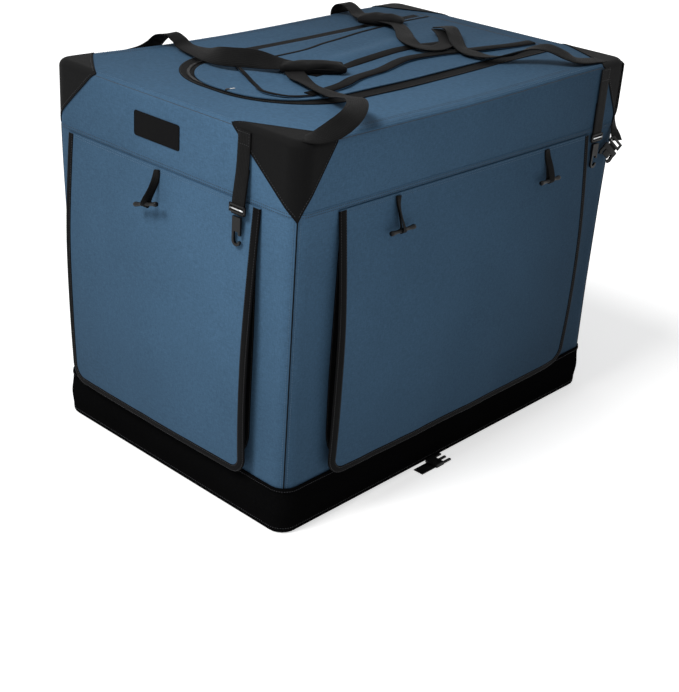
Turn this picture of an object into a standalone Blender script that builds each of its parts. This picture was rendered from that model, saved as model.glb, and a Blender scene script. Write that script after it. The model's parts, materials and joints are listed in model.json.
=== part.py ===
# Soft folding dog crate: a folding tube frame, sewn cloth walls, zipped doors and carry handles.
# Metres, +Z up. The front door faces -Y, the long sides run along Y, and the ground is at zero.

import math

import bmesh
import bpy
from mathutils import Matrix, Vector

# Overall size
crate_width = 0.610
crate_length = 0.914
roof_height = 0.708
corner_radius = 0.030
gap = 0.0003
cut_overrun = 0.010

# Cloth
wall_cloth = 0.003
skirt_cloth = 0.0025
roof_cloth = 0.0025
cover_cloth = 0.003
mesh_cloth = 0.0015
skirt_height = 0.092
skirt_lap = 0.012
band_depth = 0.123
roof_edge_radius = 0.012
patch_cloth = 0.0012
patch_on_ends = 0.158
patch_on_sides = 0.084
patch_drop = 0.147

# Folding frame
frame_tube_radius = 0.008
leg_tube_radius = 0.007
tube_fit = 0.0003
loop_bend_radius = 0.038
leg_bend_radius = 0.036
leg_inset = 0.0287
knee_offset = 0.016
knee_boss_radius = 0.006
knee_pin_radius = 0.0023
knee_pin_fit = 0.0003
knee_half_width = 0.011
knee_block_depth = 0.0095
knee_block_height = 0.032
knee_tongue = 0.0076
knee_slot_fit = 0.0004
knee_end_wall = 0.004
knee_web_height = 0.014
bracket_wall = 0.003
bracket_width = 0.026
bracket_rise = 0.020
bracket_inset = 0.046

# Floor
board_thickness = 0.003
board_margin = 0.004
mat_thickness = 0.011
mat_margin = 0.012
mat_corner_radius = 0.040
mat_edge_radius = 0.004

# Doors, windows and their covers
opening_lap = 0.024
opening_corner_radius = 0.055
cover_corner_radius = 0.035
cover_clearance = 0.0005
cover_bulge = 0.024
window_cover_bulge = 0.010
bulge_run_share = 0.75
bulge_edge_share = 0.25
door_fit = 0.0007
mesh_rim_width = 0.016
mesh_rim_depth = 0.001
front_cover_left_margin = 0.043
front_cover_right_margin = 0.081
side_cover_front_margin = 0.093
side_cover_rear_margin = 0.110
window_cover_margin = 0.127
window_cover_drop = 0.330
rear_cover_margin = 0.080
rear_cover_drop = 0.330
roof_opening_half = 0.158
roof_opening_front_margin = 0.102
roof_opening_rear_margin = 0.072
roof_opening_round_share = 0.8545
roof_opening_offset = -0.008
roof_cover_wave = 0.004
roof_hinge_step = 0.0038
hinge_edge_fit = 0.0015

# Handles
webbing_width = 0.038
webbing_thickness = 0.0022
handle_end_inset = 0.033
front_handle_reach = 0.290
rear_handle_reach = 0.140
handle_rise = 0.038
handle_anchor_inset = 0.042
grip_length = 0.125
grip_width = 0.047
grip_thickness = 0.013
grip_slot_fit = 0.0006
grip_edge_radius = 0.004
grip_rise_share = 0.33
front_grip_share = 0.0
rear_grip_share = 0.61
front_route_shares = (
    (-1.00, 0.00, 0.00),
    (-1.03, 0.21, 0.42),
    (-1.03, 0.42, 0.80),
    (-0.96, 0.57, 1.00),
    (-0.79, 0.66, 0.62),
    (-0.62, 0.76, 0.38),
    (-0.48, 0.92, 0.34),
    (-0.36, 1.00, grip_rise_share),
    (-0.25, 1.00, grip_rise_share),
    (0.25, 1.00, grip_rise_share),
    (0.36, 1.00, grip_rise_share),
    (0.55, 0.90, 0.35),
    (0.79, 0.74, 0.36),
    (0.98, 0.52, 0.68),
    (1.03, 0.29, 0.68),
    (0.97, 0.10, 0.26),
    (0.92, 0.00, 0.00),
)
rear_route_shares = (
    (-0.92, 0.00, 0.00),
    (-0.86, 0.25, 0.16),
    (-0.74, 0.48, 0.27),
    (-0.59, 0.53, 0.68),
    (-0.45, 0.57, 0.90),
    (-0.30, 0.75, 0.42),
    (-0.10, 0.96, 0.34),
    (0.12, 1.00, grip_rise_share),
    (0.25, 1.00, grip_rise_share),
    (0.36, 1.00, grip_rise_share),
    (0.85, 1.00, grip_rise_share),
    (0.92, 0.97, 0.36),
    (1.02, 0.75, 0.80),
    (1.05, 0.43, 0.95),
    (1.02, 0.14, 0.42),
    (1.00, 0.00, 0.00),
)
handle_steps = 4

# Straps, toggles and buckles
plate_width = 0.118
plate_height = 0.044
plate_thickness = 0.0016
plate_centre_x = -0.034
plate_centre_drop = 0.061
plate_corner_radius = 0.004
toggle_strap_width = 0.012
toggle_strap_length = 0.057
toggle_strap_thickness = 0.0018
toggle_bar_length = 0.062
toggle_bar_radius = 0.0035
toggle_sew_drop = 0.003
front_toggle_x = -0.034
front_toggle_stand = 0.022
side_toggle_front_inset = 0.1405
side_toggle_rear_inset = 0.142
side_toggle_stand = 0.013
hook_strap_width = 0.030
hook_strap_length = 0.130
hook_strap_thickness = 0.0018
hook_sew_drop = 0.0065
hook_strap_stand = 0.0080
hook_bend_start = 0.050
hook_bend_end = 0.098
front_hook_inset = 0.122
rear_hook_inset = 0.080
slider_width = 0.038
slider_height = 0.013
slider_thickness = 0.0046
hook_width = 0.019
hook_length = 0.050
hook_thickness = 0.0042
hook_wire = 0.0045
hook_mouth = 0.010
buckle_strap_width = 0.022
buckle_strap_thickness = 0.0018
corner_strap_length = 0.078
base_strap_length = 0.040
buckle_width = 0.030
buckle_length = 0.046
buckle_thickness = 0.0075
buckle_prong_width = 0.0055
base_buckle_start = -0.108

# Points of the round shapes, and the angle in degrees up to which they are shaded smooth
tube_sides = 3
bore_points = 16
arc_steps = 6
smooth_angle = 40

# Colours, as red, green and blue
slate_blue = (0.085, 0.135, 0.205)
lid_blue = (0.100, 0.155, 0.230)
black_cloth = (0.012, 0.012, 0.013)
black_mesh = (0.020, 0.020, 0.022)
black_plastic = (0.016, 0.016, 0.017)
fleece_grey = (0.300, 0.290, 0.270)
board_black = (0.030, 0.028, 0.026)
steel_grey = (0.360, 0.365, 0.370)

# Places worked out from the sizes above
half_width = crate_width / 2
half_length = crate_length / 2
seam_height = roof_height - band_depth
bracket_tube_radius = frame_tube_radius + bracket_wall
bracket_leg_radius = leg_tube_radius + bracket_wall
loop_inset = wall_cloth + gap + bracket_tube_radius
loop_half_x = half_width - loop_inset
loop_half_y = half_length - loop_inset
leg_half_spacing = loop_half_x - leg_inset
bracket_half_spacing = leg_half_spacing - leg_bend_radius - bracket_inset
base_tube_height = wall_cloth + gap + bracket_tube_radius
top_tube_height = roof_height - roof_cloth - gap - bracket_tube_radius
pivot_y = half_length - wall_cloth - gap - knee_boss_radius - knee_offset
foot_pivot_height = base_tube_height + bracket_rise
top_pivot_height = top_tube_height - bracket_rise
knee_height = (foot_pivot_height + top_pivot_height) / 2
wall_bottom = skirt_height - skirt_lap
band_bottom = seam_height + gap
cover_hinge_height = seam_height - hinge_edge_fit
cover_bottom = skirt_height + gap
door_top = seam_height - opening_lap
front_cover_left = half_width - front_cover_left_margin
front_cover_right = half_width - front_cover_right_margin
side_cover_front = half_length - side_cover_front_margin
side_cover_rear = half_length - side_cover_rear_margin
window_cover_half = half_length - window_cover_margin
rear_cover_half = half_width - rear_cover_margin
roof_opening_front = half_length - roof_opening_front_margin
roof_opening_rear = half_length - roof_opening_rear_margin
roof_opening_radius = roof_opening_half * roof_opening_round_share
handle_half_span = half_width - handle_end_inset
plate_centre_height = roof_height - plate_centre_drop
side_toggle_front = side_toggle_front_inset - side_cover_front
side_toggle_rear = side_cover_rear - side_toggle_rear_inset
hook_sew_height = roof_height - hook_sew_drop
front_hook_x = half_width - front_hook_inset
rear_hook_y = half_length - rear_hook_inset


def new_collection(name):
    made = bpy.data.collections.new(name)
    bpy.context.scene.collection.children.link(made)
    return made


def new_material(name, colour, roughness, metallic=0.0):
    made = bpy.data.materials.new(name)
    made.use_nodes = True
    shader = made.node_tree.nodes["Principled BSDF"]
    shader.inputs["Base Color"].default_value = (*colour, 1.0)
    shader.inputs["Roughness"].default_value = roughness
    shader.inputs["Metallic"].default_value = metallic
    return made


for leftover in list(bpy.data.objects):
    bpy.data.objects.remove(leftover, do_unlink=True)
parts = new_collection("soft_folding_dog_crate")
cutters = new_collection("cutters")

looks = {
    "wall_cloth": new_material("wall_cloth", slate_blue, 0.9),
    "cover_cloth": new_material("cover_cloth", lid_blue, 0.9),
    "black_cloth": new_material("black_cloth", black_cloth, 0.92),
    "mesh": new_material("mesh", black_mesh, 0.7),
    "webbing": new_material("webbing", black_cloth, 0.85),
    "plastic": new_material("plastic", black_plastic, 0.45),
    "fleece": new_material("fleece", fleece_grey, 0.98),
    "board": new_material("board", board_black, 0.8),
    "steel": new_material("steel", steel_grey, 0.35, 1.0),
}


def add(name, data, look):
    """Puts mesh or curve data in the scene as a named piece."""
    piece = bpy.data.objects.new(name, data)
    parts.objects.link(piece)
    piece.data.materials.append(looks[look])
    return piece


def hide(piece):
    """Turns a piece into a cutter."""
    parts.objects.unlink(piece)
    cutters.objects.link(piece)
    piece.hide_render = True
    piece.display_type = "WIRE"
    return piece


def combine(piece, other, operation):
    """Cuts, joins or intersects a piece with another mesh object."""
    step = piece.modifiers.new(operation.lower(), "BOOLEAN")
    step.operation = operation
    step.solver = "EXACT"
    step.object = other
    return piece


def mesh_from(bm, name, look):
    bmesh.ops.recalc_face_normals(bm, faces=bm.faces)
    data = bpy.data.meshes.new(name)
    bm.to_mesh(data)
    bm.free()
    data.shade_smooth()
    data.set_sharp_from_angle(angle=math.radians(smooth_angle))
    return add(name, data, look)


def block(name, size, centre, look, edge=0.0):
    """A box, with its edges rounded by edge."""
    bm = bmesh.new()
    bmesh.ops.create_cube(bm, size=1.0)
    bmesh.ops.scale(bm, vec=size, verts=bm.verts)
    if edge:
        bmesh.ops.bevel(bm, geom=bm.edges[:], offset=edge, segments=2, profile=0.5, affect="EDGES")
    bmesh.ops.translate(bm, vec=centre, verts=bm.verts)
    return mesh_from(bm, name, look)


def rod(name, radius, length, centre, look, points=bore_points):
    """A solid cylinder along X."""
    bm = bmesh.new()
    bmesh.ops.create_cone(bm, cap_ends=True, segments=points, radius1=radius, radius2=radius, depth=length)
    bmesh.ops.rotate(bm, matrix=Matrix.Rotation(math.pi / 2, 3, "Y"), verts=bm.verts)
    bmesh.ops.translate(bm, vec=centre, verts=bm.verts)
    return mesh_from(bm, name, look)


def post(name, radius, bottom, top, look):
    """A solid cylinder along Z at the origin."""
    bm = bmesh.new()
    bmesh.ops.create_cone(
        bm, cap_ends=True, segments=bore_points, radius1=radius, radius2=radius, depth=top - bottom
    )
    bmesh.ops.translate(bm, vec=(0, 0, (top + bottom) / 2), verts=bm.verts)
    return mesh_from(bm, name, look)


def corner_arc(centre_x, centre_y, radius, start, end, steps=arc_steps):
    """Points on an arc, with its angles in degrees."""
    turns = [math.radians(start + (end - start) * i / steps) for i in range(steps + 1)]
    return [(centre_x + radius * math.cos(t), centre_y + radius * math.sin(t)) for t in turns]


def rounded_rectangle(half_x, half_y, radius, steps=arc_steps):
    """A rounded rectangle round the origin, counter-clockwise."""
    points = []
    for sign_x, sign_y, start in ((1, 1, 0), (-1, 1, 90), (-1, -1, 180), (1, -1, 270)):
        points += corner_arc(
            sign_x * (half_x - radius), sign_y * (half_y - radius), radius, start, start + 90, steps
        )
    return points


def prism(name, outline, bottom, top, look, edge=0.0):
    """An outline in X and Y raised from bottom to top, with the rim of its top rounded by edge."""
    bm = bmesh.new()
    base = bm.faces.new([bm.verts.new((x, y, bottom)) for x, y in outline])
    raised = bmesh.ops.extrude_face_region(bm, geom=[base])["geom"]
    lifted = [v for v in raised if isinstance(v, bmesh.types.BMVert)]
    bmesh.ops.translate(bm, vec=(0, 0, top - bottom), verts=lifted)
    if edge:
        rim = [e for e in raised if isinstance(e, bmesh.types.BMEdge)]
        bmesh.ops.bevel(bm, geom=rim, offset=edge, segments=3, profile=0.5, affect="EDGES")
    return mesh_from(bm, name, look)


def slab(name, outline, half_depth, look):
    """An outline in Y and Z, carried half_depth each way along X."""
    piece = prism(name, outline, -half_depth, half_depth, look)
    piece.data.transform(Matrix.Rotation(math.pi / 2, 4, "Z") @ Matrix.Rotation(math.pi / 2, 4, "X"))
    return piece


def belt_outline(first, first_radius, second, second_radius):
    """The outline of a belt round two circles in a plane."""
    across = Vector(second) - Vector(first)
    heading = math.degrees(math.atan2(across.y, across.x))
    lean = math.degrees(math.acos((first_radius - second_radius) / across.length))
    points = corner_arc(*first, first_radius, heading + lean, heading - lean + 360, 2 * arc_steps)
    return points + corner_arc(*second, second_radius, heading - lean, heading + lean, 2 * arc_steps)


def tube(name, points, radius, look, closed=False, sides=tube_sides):
    """A round tube along a list of points."""
    data = bpy.data.curves.new(name, "CURVE")
    data.dimensions = "3D"
    data.bevel_depth = radius
    data.bevel_resolution = sides
    data.use_fill_caps = True
    line = data.splines.new("POLY")
    line.points.add(len(points) - 1)
    for spot, place in zip(line.points, points):
        spot.co = (*place, 1.0)
    line.use_cyclic_u = closed
    return add(name, data, look)


def smooth_route(knots, steps):
    """A Catmull-Rom curve through the knots."""
    ends = [2 * knots[0] - knots[1], *knots, 2 * knots[-1] - knots[-2]]
    route = []
    for i in range(1, len(ends) - 2):
        a, b, c, d = ends[i - 1 : i + 3]
        for j in range(steps):
            t = j / steps
            route.append(
                0.5 * (2 * b + (c - a) * t + (2 * a - 5 * b + 4 * c - d) * t**2 + (3 * b - a - 3 * c + d) * t**3)
            )
    return [*route, knots[-1]]


# Each side is built as the front is, with outward along -Y, and then turned about Z.
side_turns = {"front": 0.0, "right": math.pi / 2, "rear": math.pi, "left": -math.pi / 2}
side_planes = {"front": half_length, "right": half_width, "rear": half_length, "left": half_width}
side_runs = {"front": half_width, "right": half_length, "rear": half_width, "left": half_length}


def turn_to(piece, side, x=0.0, outward=0.0, height=0.0):
    """Places a piece on a side: x along it, outward from its wall's outer face, at a height."""
    turn = Matrix.Rotation(side_turns[side], 3, "Z")
    piece.location = turn @ Vector((x, -side_planes[side] - outward, height))
    piece.rotation_euler = (0, 0, side_turns[side])
    return piece


def frame_loops():
    """The two closed loops of tube, one under the roof and one on the base cloth."""
    path = rounded_rectangle(loop_half_x, loop_half_y, loop_bend_radius)
    tube("base_frame", [(x, y, base_tube_height) for x, y in path], frame_tube_radius, "steel", closed=True)
    tube("top_frame", [(x, y, top_tube_height) for x, y in path], frame_tube_radius, "steel", closed=True)


def leg_frame(name, end, pivot_height, tip_height):
    """A U of tube: its crossbar is the hinge shaft and its two legs stop inside the knees."""
    rise = 1 if tip_height > pivot_height else -1
    bend = leg_bend_radius
    tip = tip_height - pivot_height
    left = [(x, rise * z) for x, z in corner_arc(bend - leg_half_spacing, bend, bend, 180, 270)]
    right = [(-x, z) for x, z in reversed(left)]
    path = [(-leg_half_spacing, tip), *left, *right, (leg_half_spacing, tip)]
    piece = tube(name, [(x, 0, z) for x, z in path], leg_tube_radius, "steel")
    piece.location = (0, end * pivot_y, pivot_height)


def knee_block(name, rise):
    """The moulded socket that the leg tube is pressed into, open at its far end."""
    face = -rise * gap / 2
    foot = -rise * knee_block_height
    size = (2 * knee_half_width, 2 * knee_block_depth, abs(face - foot))
    return block(name, size, (0, 0, (face + foot) / 2), "plastic", edge=knee_tongue / 5)


def tube_bore(name, rise):
    inner = -rise * knee_end_wall
    outer = -rise * (knee_block_height + cut_overrun)
    return hide(post(name, leg_tube_radius + tube_fit, min(inner, outer), max(inner, outer), "plastic"))


def knee_arm(name, rise, half_depth):
    """The arm from a block to the pin: a gusset on its own side of the joint and a round boss."""
    face = -rise * gap / 2
    boss = corner_arc(knee_offset, 0, knee_boss_radius, 180, 180 - 270 * rise, 3 * arc_steps)
    outline = [(0, face), *boss, (knee_block_depth, -rise * knee_web_height), (0, -rise * knee_web_height)]
    return slab(name, outline, half_depth, "plastic")


def knee_fork(name, side_x, end):
    """The lower half of a knee: two cheeks with the pin between them."""
    piece = knee_block(name, 1)
    combine(piece, hide(knee_arm(name + "_cheeks", 1, knee_half_width)), "UNION")
    slot_radius = knee_boss_radius + knee_slot_fit
    slot_length = knee_tongue + 2 * knee_slot_fit
    combine(piece, hide(rod(name + "_slot", slot_radius, slot_length, (0, knee_offset, 0), "plastic")), "DIFFERENCE")
    lintel = (slot_length, 2 * knee_offset, 2 * slot_radius)
    above = (0, knee_offset, slot_radius - gap / 2)
    combine(piece, hide(block(name + "_mouth", lintel, above, "plastic")), "DIFFERENCE")
    pin_length = 2 * knee_half_width - knee_tongue / 2
    combine(piece, hide(rod(name + "_pin", knee_pin_radius, pin_length, (0, knee_offset, 0), "plastic")), "UNION")
    combine(piece, tube_bore(name + "_bore", 1), "DIFFERENCE")
    seat_knee(piece, side_x, end)


def knee_eye(name, side_x, end):
    """The upper half of a knee: a tongue with the pin's hole."""
    piece = knee_block(name, -1)
    combine(piece, hide(knee_arm(name + "_tongue", -1, knee_tongue / 2)), "UNION")
    hole = knee_pin_radius + knee_pin_fit
    overrun = knee_tongue + cut_overrun
    combine(piece, hide(rod(name + "_hole", hole, overrun, (0, knee_offset, 0), "plastic")), "DIFFERENCE")
    combine(piece, tube_bore(name + "_bore", -1), "DIFFERENCE")
    seat_knee(piece, side_x, end)


def seat_knee(piece, side_x, end):
    """Puts a knee, and the cutters it carries, at its leg, with its pin towards the end wall."""
    piece.location = (side_x * leg_half_spacing, end * pivot_y, knee_height)
    piece.rotation_euler = (0, 0, 0 if end > 0 else math.pi)
    for step in piece.modifiers:
        step.object.location = piece.location
        step.object.rotation_euler = piece.rotation_euler


def hinge_bracket(name, side_x, end, tube_height, pivot_height):
    """A moulded clip round the loop's tube and the leg frame's crossbar."""
    tube_spot = (0, 0)
    shaft_spot = (pivot_y - loop_half_y, pivot_height - tube_height)
    outline = belt_outline(tube_spot, bracket_tube_radius, shaft_spot, bracket_leg_radius)
    piece = slab(name, outline, bracket_width / 2, "plastic")
    long_cut = bracket_width + cut_overrun
    tube_hole = rod(name + "_tube_bore", frame_tube_radius + tube_fit, long_cut, (0, *tube_spot), "plastic")
    shaft_hole = rod(name + "_shaft_bore", leg_tube_radius + tube_fit, long_cut, (0, *shaft_spot), "plastic")
    combine(piece, hide(tube_hole), "DIFFERENCE")
    combine(piece, hide(shaft_hole), "DIFFERENCE")
    for solid in (piece, tube_hole, shaft_hole):
        solid.location = (side_x * bracket_half_spacing, end * loop_half_y, tube_height)
        solid.rotation_euler = (0, 0, 0 if end > 0 else math.pi)


def folding_frame():
    frame_loops()
    below_knee = knee_height - knee_end_wall - gap
    above_knee = knee_height + knee_end_wall + gap
    for end_name, end in (("front", -1), ("rear", 1)):
        leg_frame(end_name + "_lower_frame", end, foot_pivot_height, below_knee)
        leg_frame(end_name + "_upper_frame", end, top_pivot_height, above_knee)
        for side_name, side_x in (("left", -1), ("right", 1)):
            spot = f"{end_name}_{side_name}"
            knee_fork("knee_fork_" + spot, side_x, end)
            knee_eye("knee_eye_" + spot, side_x, end)
            hinge_bracket("foot_bracket_" + spot, side_x, end, base_tube_height, foot_pivot_height)
            hinge_bracket("roof_bracket_" + spot, side_x, end, top_tube_height, top_pivot_height)


def base_tray():
    """The black bottom cloth with its standing skirt."""
    outward = gap + skirt_cloth
    outer = rounded_rectangle(half_width + outward, half_length + outward, corner_radius + outward)
    inner = rounded_rectangle(half_width + gap, half_length + gap, corner_radius + gap)
    piece = prism("base_tray", outer, 0, skirt_height, "black_cloth")
    hollow = hide(prism("tray_hollow", inner, wall_cloth, skirt_height + cut_overrun, "black_cloth"))
    combine(piece, hollow, "DIFFERENCE")


def floor_pieces():
    half_x = loop_half_x - frame_tube_radius - board_margin
    half_y = pivot_y - bracket_leg_radius - board_margin
    bottom = wall_cloth + gap
    outline = rounded_rectangle(half_x, half_y, mat_corner_radius - mat_margin)
    prism("floor_board", outline, bottom, bottom + board_thickness, "board")
    mat_bottom = bottom + board_thickness + gap
    mat_x = half_x - mat_margin
    mat_y = half_y - mat_margin
    mat_top = mat_bottom + mat_thickness
    mat = rounded_rectangle(mat_x, mat_y, mat_corner_radius - mat_margin)
    prism("fleece_mat", mat, mat_bottom, mat_top, "fleece", edge=mat_edge_radius)


def wall(side, left, right, bottom, top):
    """One wall with half of each rounded corner, and an opening that is round at its lower corners."""
    run = side_runs[side]
    centre_x = run - corner_radius
    centre_y = corner_radius
    inner = corner_radius - wall_cloth
    outer_right = corner_arc(centre_x, centre_y, corner_radius, -90, -45, arc_steps // 2)
    inner_right = corner_arc(centre_x, centre_y, inner, -45, -90, arc_steps // 2)
    half = outer_right + inner_right
    outline = half + [(-x, y) for x, y in reversed(half)]
    # A hair is left between neighbours where two walls meet at a corner.
    shrink = 1 - gap / run
    outline = [(x * shrink, y) for x, y in outline]
    piece = prism(side + "_wall", outline, wall_bottom, seam_height, "wall_cloth")
    hole = opening_outline(left, right, bottom, top, opening_corner_radius)
    cutter = prism(side + "_opening", hole, -cut_overrun, cut_overrun, "wall_cloth")
    cutter.data.transform(Matrix.Rotation(math.pi / 2, 4, "X"))
    hide(cutter)
    combine(piece, cutter, "DIFFERENCE")
    turn_to(piece, side)
    turn_to(cutter, side)


def opening_outline(left, right, bottom, top, radius):
    """A door's outline: square at the top, where it hangs, and round at its lower corners."""
    lower_left = corner_arc(left + radius, bottom + radius, radius, 180, 270)
    lower_right = corner_arc(right - radius, bottom + radius, radius, 270, 360)
    return [*lower_left, *lower_right, (right, top), (left, top)]


def cover_belly(bulge, across, down):
    """How far hanging cloth stands out, at shares of its half width and of its drop."""
    return bulge * (1 - bulge_edge_share * across**2) * math.sin(math.pi * bulge_run_share * down)


def hung_sheet(name, left, right, drop, radius, cloth, bulge, look, columns=10, rows=6):
    """Hanging cloth below its hinge at the origin: round lower corners and an outward belly."""
    bm = bmesh.new()
    total_rows = rows + arc_steps
    bmesh.ops.create_grid(bm, x_segments=columns, y_segments=total_rows, size=1.0)
    middle = (left + right) / 2
    half = (right - left) / 2
    for vert in bm.verts:
        row = round((vert.co.y + 1) / 2 * total_rows)
        if row <= arc_steps:
            turn = math.pi / 2 * row / arc_steps
            height = radius * (1 - math.cos(turn)) - drop
            inset = radius * (1 - math.sin(turn))
        else:
            height = (radius - drop) * (total_rows - row) / rows
            inset = 0
        across = vert.co.x
        belly = cover_belly(bulge, across, -height / drop)
        vert.co = (middle + across * (half - inset), -belly, height)
    piece = mesh_from(bm, name, look)
    step = piece.modifiers.new("cloth", "SOLIDIFY")
    step.thickness = cloth
    step.offset = 0
    return piece


def mesh_panel(name, left, right, drop, radius):
    """A thin net inside a thicker sewn rim. It hangs from its origin, half its rim below its top edge."""
    half_rim = (mesh_cloth + mesh_rim_depth) / 2
    outline = opening_outline(left, right, -drop, half_rim, radius)
    rim = mesh_rim_width
    inner = opening_outline(left + rim, right - rim, rim - drop, half_rim - rim, radius - rim / 2)
    piece = prism(name, outline, -half_rim, half_rim, "mesh")
    for face, start in (("inside", -half_rim - cut_overrun), ("outside", mesh_cloth / 2)):
        cutter = hide(prism(f"{name}_{face}", inner, start, start + cut_overrun + mesh_rim_depth / 2, "mesh"))
        cutter.data.transform(Matrix.Rotation(math.pi / 2, 4, "X"))
        combine(piece, cutter, "DIFFERENCE")
    piece.data.transform(Matrix.Rotation(math.pi / 2, 4, "X"))
    return piece


def place_panel(piece, side, outward, height):
    turn_to(piece, side, 0, outward, height)
    for step in piece.modifiers:
        if step.type == "BOOLEAN":
            turn_to(step.object, side, 0, outward, height)


def side_opening(side, left, right, cover_drop, bulge, mesh_name, fit):
    """A wall with its mesh panel and the cloth cover that hangs over them."""
    lap = opening_lap
    bottom = cover_hinge_height - cover_drop + lap
    wall(side, left + lap, right - lap, bottom, door_top)
    cover = hung_sheet(
        side + "_cover", left, right, cover_drop, cover_corner_radius, cover_cloth, bulge, "cover_cloth"
    )
    place_panel(cover, side, cover_clearance + cover_cloth / 2, cover_hinge_height)
    hang_height = door_top - fit - (mesh_cloth + mesh_rim_depth) / 2
    mesh = mesh_panel(
        mesh_name, left + lap + fit, right - lap - fit, hang_height - bottom - fit, opening_corner_radius - fit
    )
    place_panel(mesh, side, -wall_cloth / 2, hang_height)


def walls_and_covers():
    full_drop = cover_hinge_height - cover_bottom
    belly = cover_bulge
    half = window_cover_half
    side_opening("front", -front_cover_left, front_cover_right, full_drop, belly, "front_mesh_door", door_fit)
    side_opening("right", -side_cover_front, side_cover_rear, full_drop, belly, "right_mesh_door", door_fit)
    belly = window_cover_bulge
    side_opening("rear", -rear_cover_half, rear_cover_half, rear_cover_drop, belly, "rear_mesh_window", gap)
    side_opening("left", -half, half, window_cover_drop, belly, "left_mesh_window", gap)


def upper_band():
    """The cloth band that hangs below the roof, turned in over the top tube all round."""
    thin = wall_cloth
    edge = roof_edge_radius
    under = roof_height - roof_cloth
    outer = rounded_rectangle(half_width, half_length, corner_radius)
    inner = rounded_rectangle(half_width - thin, half_length - thin, corner_radius - thin)
    lip = rounded_rectangle(half_width - edge, half_length - edge, corner_radius - edge)
    piece = prism("upper_band", outer, band_bottom, roof_height, "wall_cloth", edge=edge)
    hollow = prism("band_hollow", inner, band_bottom - cut_overrun, under, "wall_cloth", edge=edge - thin)
    top_hole = prism("band_top_hole", lip, under - gap, roof_height + cut_overrun, "wall_cloth")
    combine(piece, hide(hollow), "DIFFERENCE")
    combine(piece, hide(top_hole), "DIFFERENCE")


def roof_outline(grow):
    """The roof opening: round at its front end and square at the rear, where its flaps are hinged."""
    left = roof_opening_offset - roof_opening_half - grow
    right = roof_opening_offset + roof_opening_half + grow
    return opening_outline(
        left, right, -roof_opening_front - grow, roof_opening_rear + grow, roof_opening_radius + grow
    )


def roof():
    """The flat roof cloth inside the band's turned edge, with its zipped opening."""
    inset = roof_edge_radius + gap
    outline = rounded_rectangle(half_width - inset, half_length - inset, corner_radius - inset)
    piece = prism("roof_panel", outline, roof_height - roof_cloth, roof_height, "wall_cloth")
    overrun = cut_overrun
    hole = prism(
        "roof_hole", roof_outline(0), roof_height - roof_cloth - overrun, roof_height + overrun, "wall_cloth"
    )
    combine(piece, hide(hole), "DIFFERENCE")
    roof_flaps()


def roof_flaps():
    """The mesh flap in the roof opening, with the cloth flap on top of it, hinged a little behind it."""
    left = roof_opening_offset - roof_opening_half + door_fit
    right = roof_opening_offset + roof_opening_half - door_fit
    half_rim = (mesh_cloth + mesh_rim_depth) / 2
    radius = roof_opening_radius - door_fit
    net_hinge = roof_opening_rear - door_fit - half_rim
    net = mesh_panel("roof_mesh_door", left, right, net_hinge + roof_opening_front - door_fit, radius)
    cloth_hinge = net_hinge + roof_hinge_step
    cloth = hung_sheet(
        "roof_cover",
        left,
        right,
        cloth_hinge + roof_opening_front - door_fit,
        radius,
        cover_cloth,
        roof_cover_wave,
        "cover_cloth",
    )
    net_height = roof_height - roof_cloth + half_rim
    cloth_height = net_height + half_rim + 2 * gap + cover_cloth / 2
    for solid, hinge, height in ((net, net_hinge, net_height), (cloth, cloth_hinge, cloth_height)):
        for laid in [solid] + [s.object for s in solid.modifiers if s.type == "BOOLEAN"]:
            laid.location = (0, hinge, height)
            laid.rotation_euler = (-math.pi / 2, 0, 0)


def corner_patch(name, side_x, end):
    """A three-sided patch over a roof corner, cut from a thin rounded shell by one slanted plane."""
    near = gap
    far = gap + patch_cloth
    edge = roof_edge_radius
    bottom = roof_height - patch_drop - cut_overrun
    shell = prism(
        name,
        rounded_rectangle(half_width + far, half_length + far, corner_radius + far),
        bottom,
        roof_height + far,
        "black_cloth",
        edge=edge + far,
    )
    core = prism(
        name + "_core",
        rounded_rectangle(half_width + near, half_length + near, corner_radius + near),
        bottom - cut_overrun,
        roof_height + near,
        "black_cloth",
        edge=edge + near,
    )
    combine(shell, hide(core), "DIFFERENCE")
    corner = Vector((half_width + far, half_length + far, roof_height + far))
    legs = (Vector((patch_on_ends, 0, 0)), Vector((0, patch_on_sides, 0)), Vector((0, 0, patch_drop)))
    # The slanted plane passes through one point on each edge that meets at the corner.
    beyond = corner + cut_overrun * Vector((1, 1, 1))
    stretch = 1 + cut_overrun * sum(1 / leg.length for leg in legs)
    bm = bmesh.new()
    for spot in (beyond, *(beyond - leg * stretch for leg in legs)):
        bm.verts.new((side_x * spot.x, end * spot.y, spot.z))
    bmesh.ops.convex_hull(bm, input=bm.verts)
    combine(shell, hide(mesh_from(bm, name + "_wedge", "black_cloth")), "INTERSECT")


def patches():
    for end_name, end in (("front", -1), ("rear", 1)):
        for side_name, side_x in (("left", -1), ("right", 1)):
            corner_patch(f"corner_patch_{end_name}_{side_name}", side_x, end)


def name_plate():
    outline = rounded_rectangle(plate_width / 2, plate_height / 2, plate_corner_radius, steps=3)
    piece = prism("name_plate", outline, gap, gap + plate_thickness, "plastic")
    piece.data.transform(Matrix.Rotation(math.pi / 2, 4, "X"))
    turn_to(piece, "front", plate_centre_x, 0, plate_centre_height)


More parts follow.
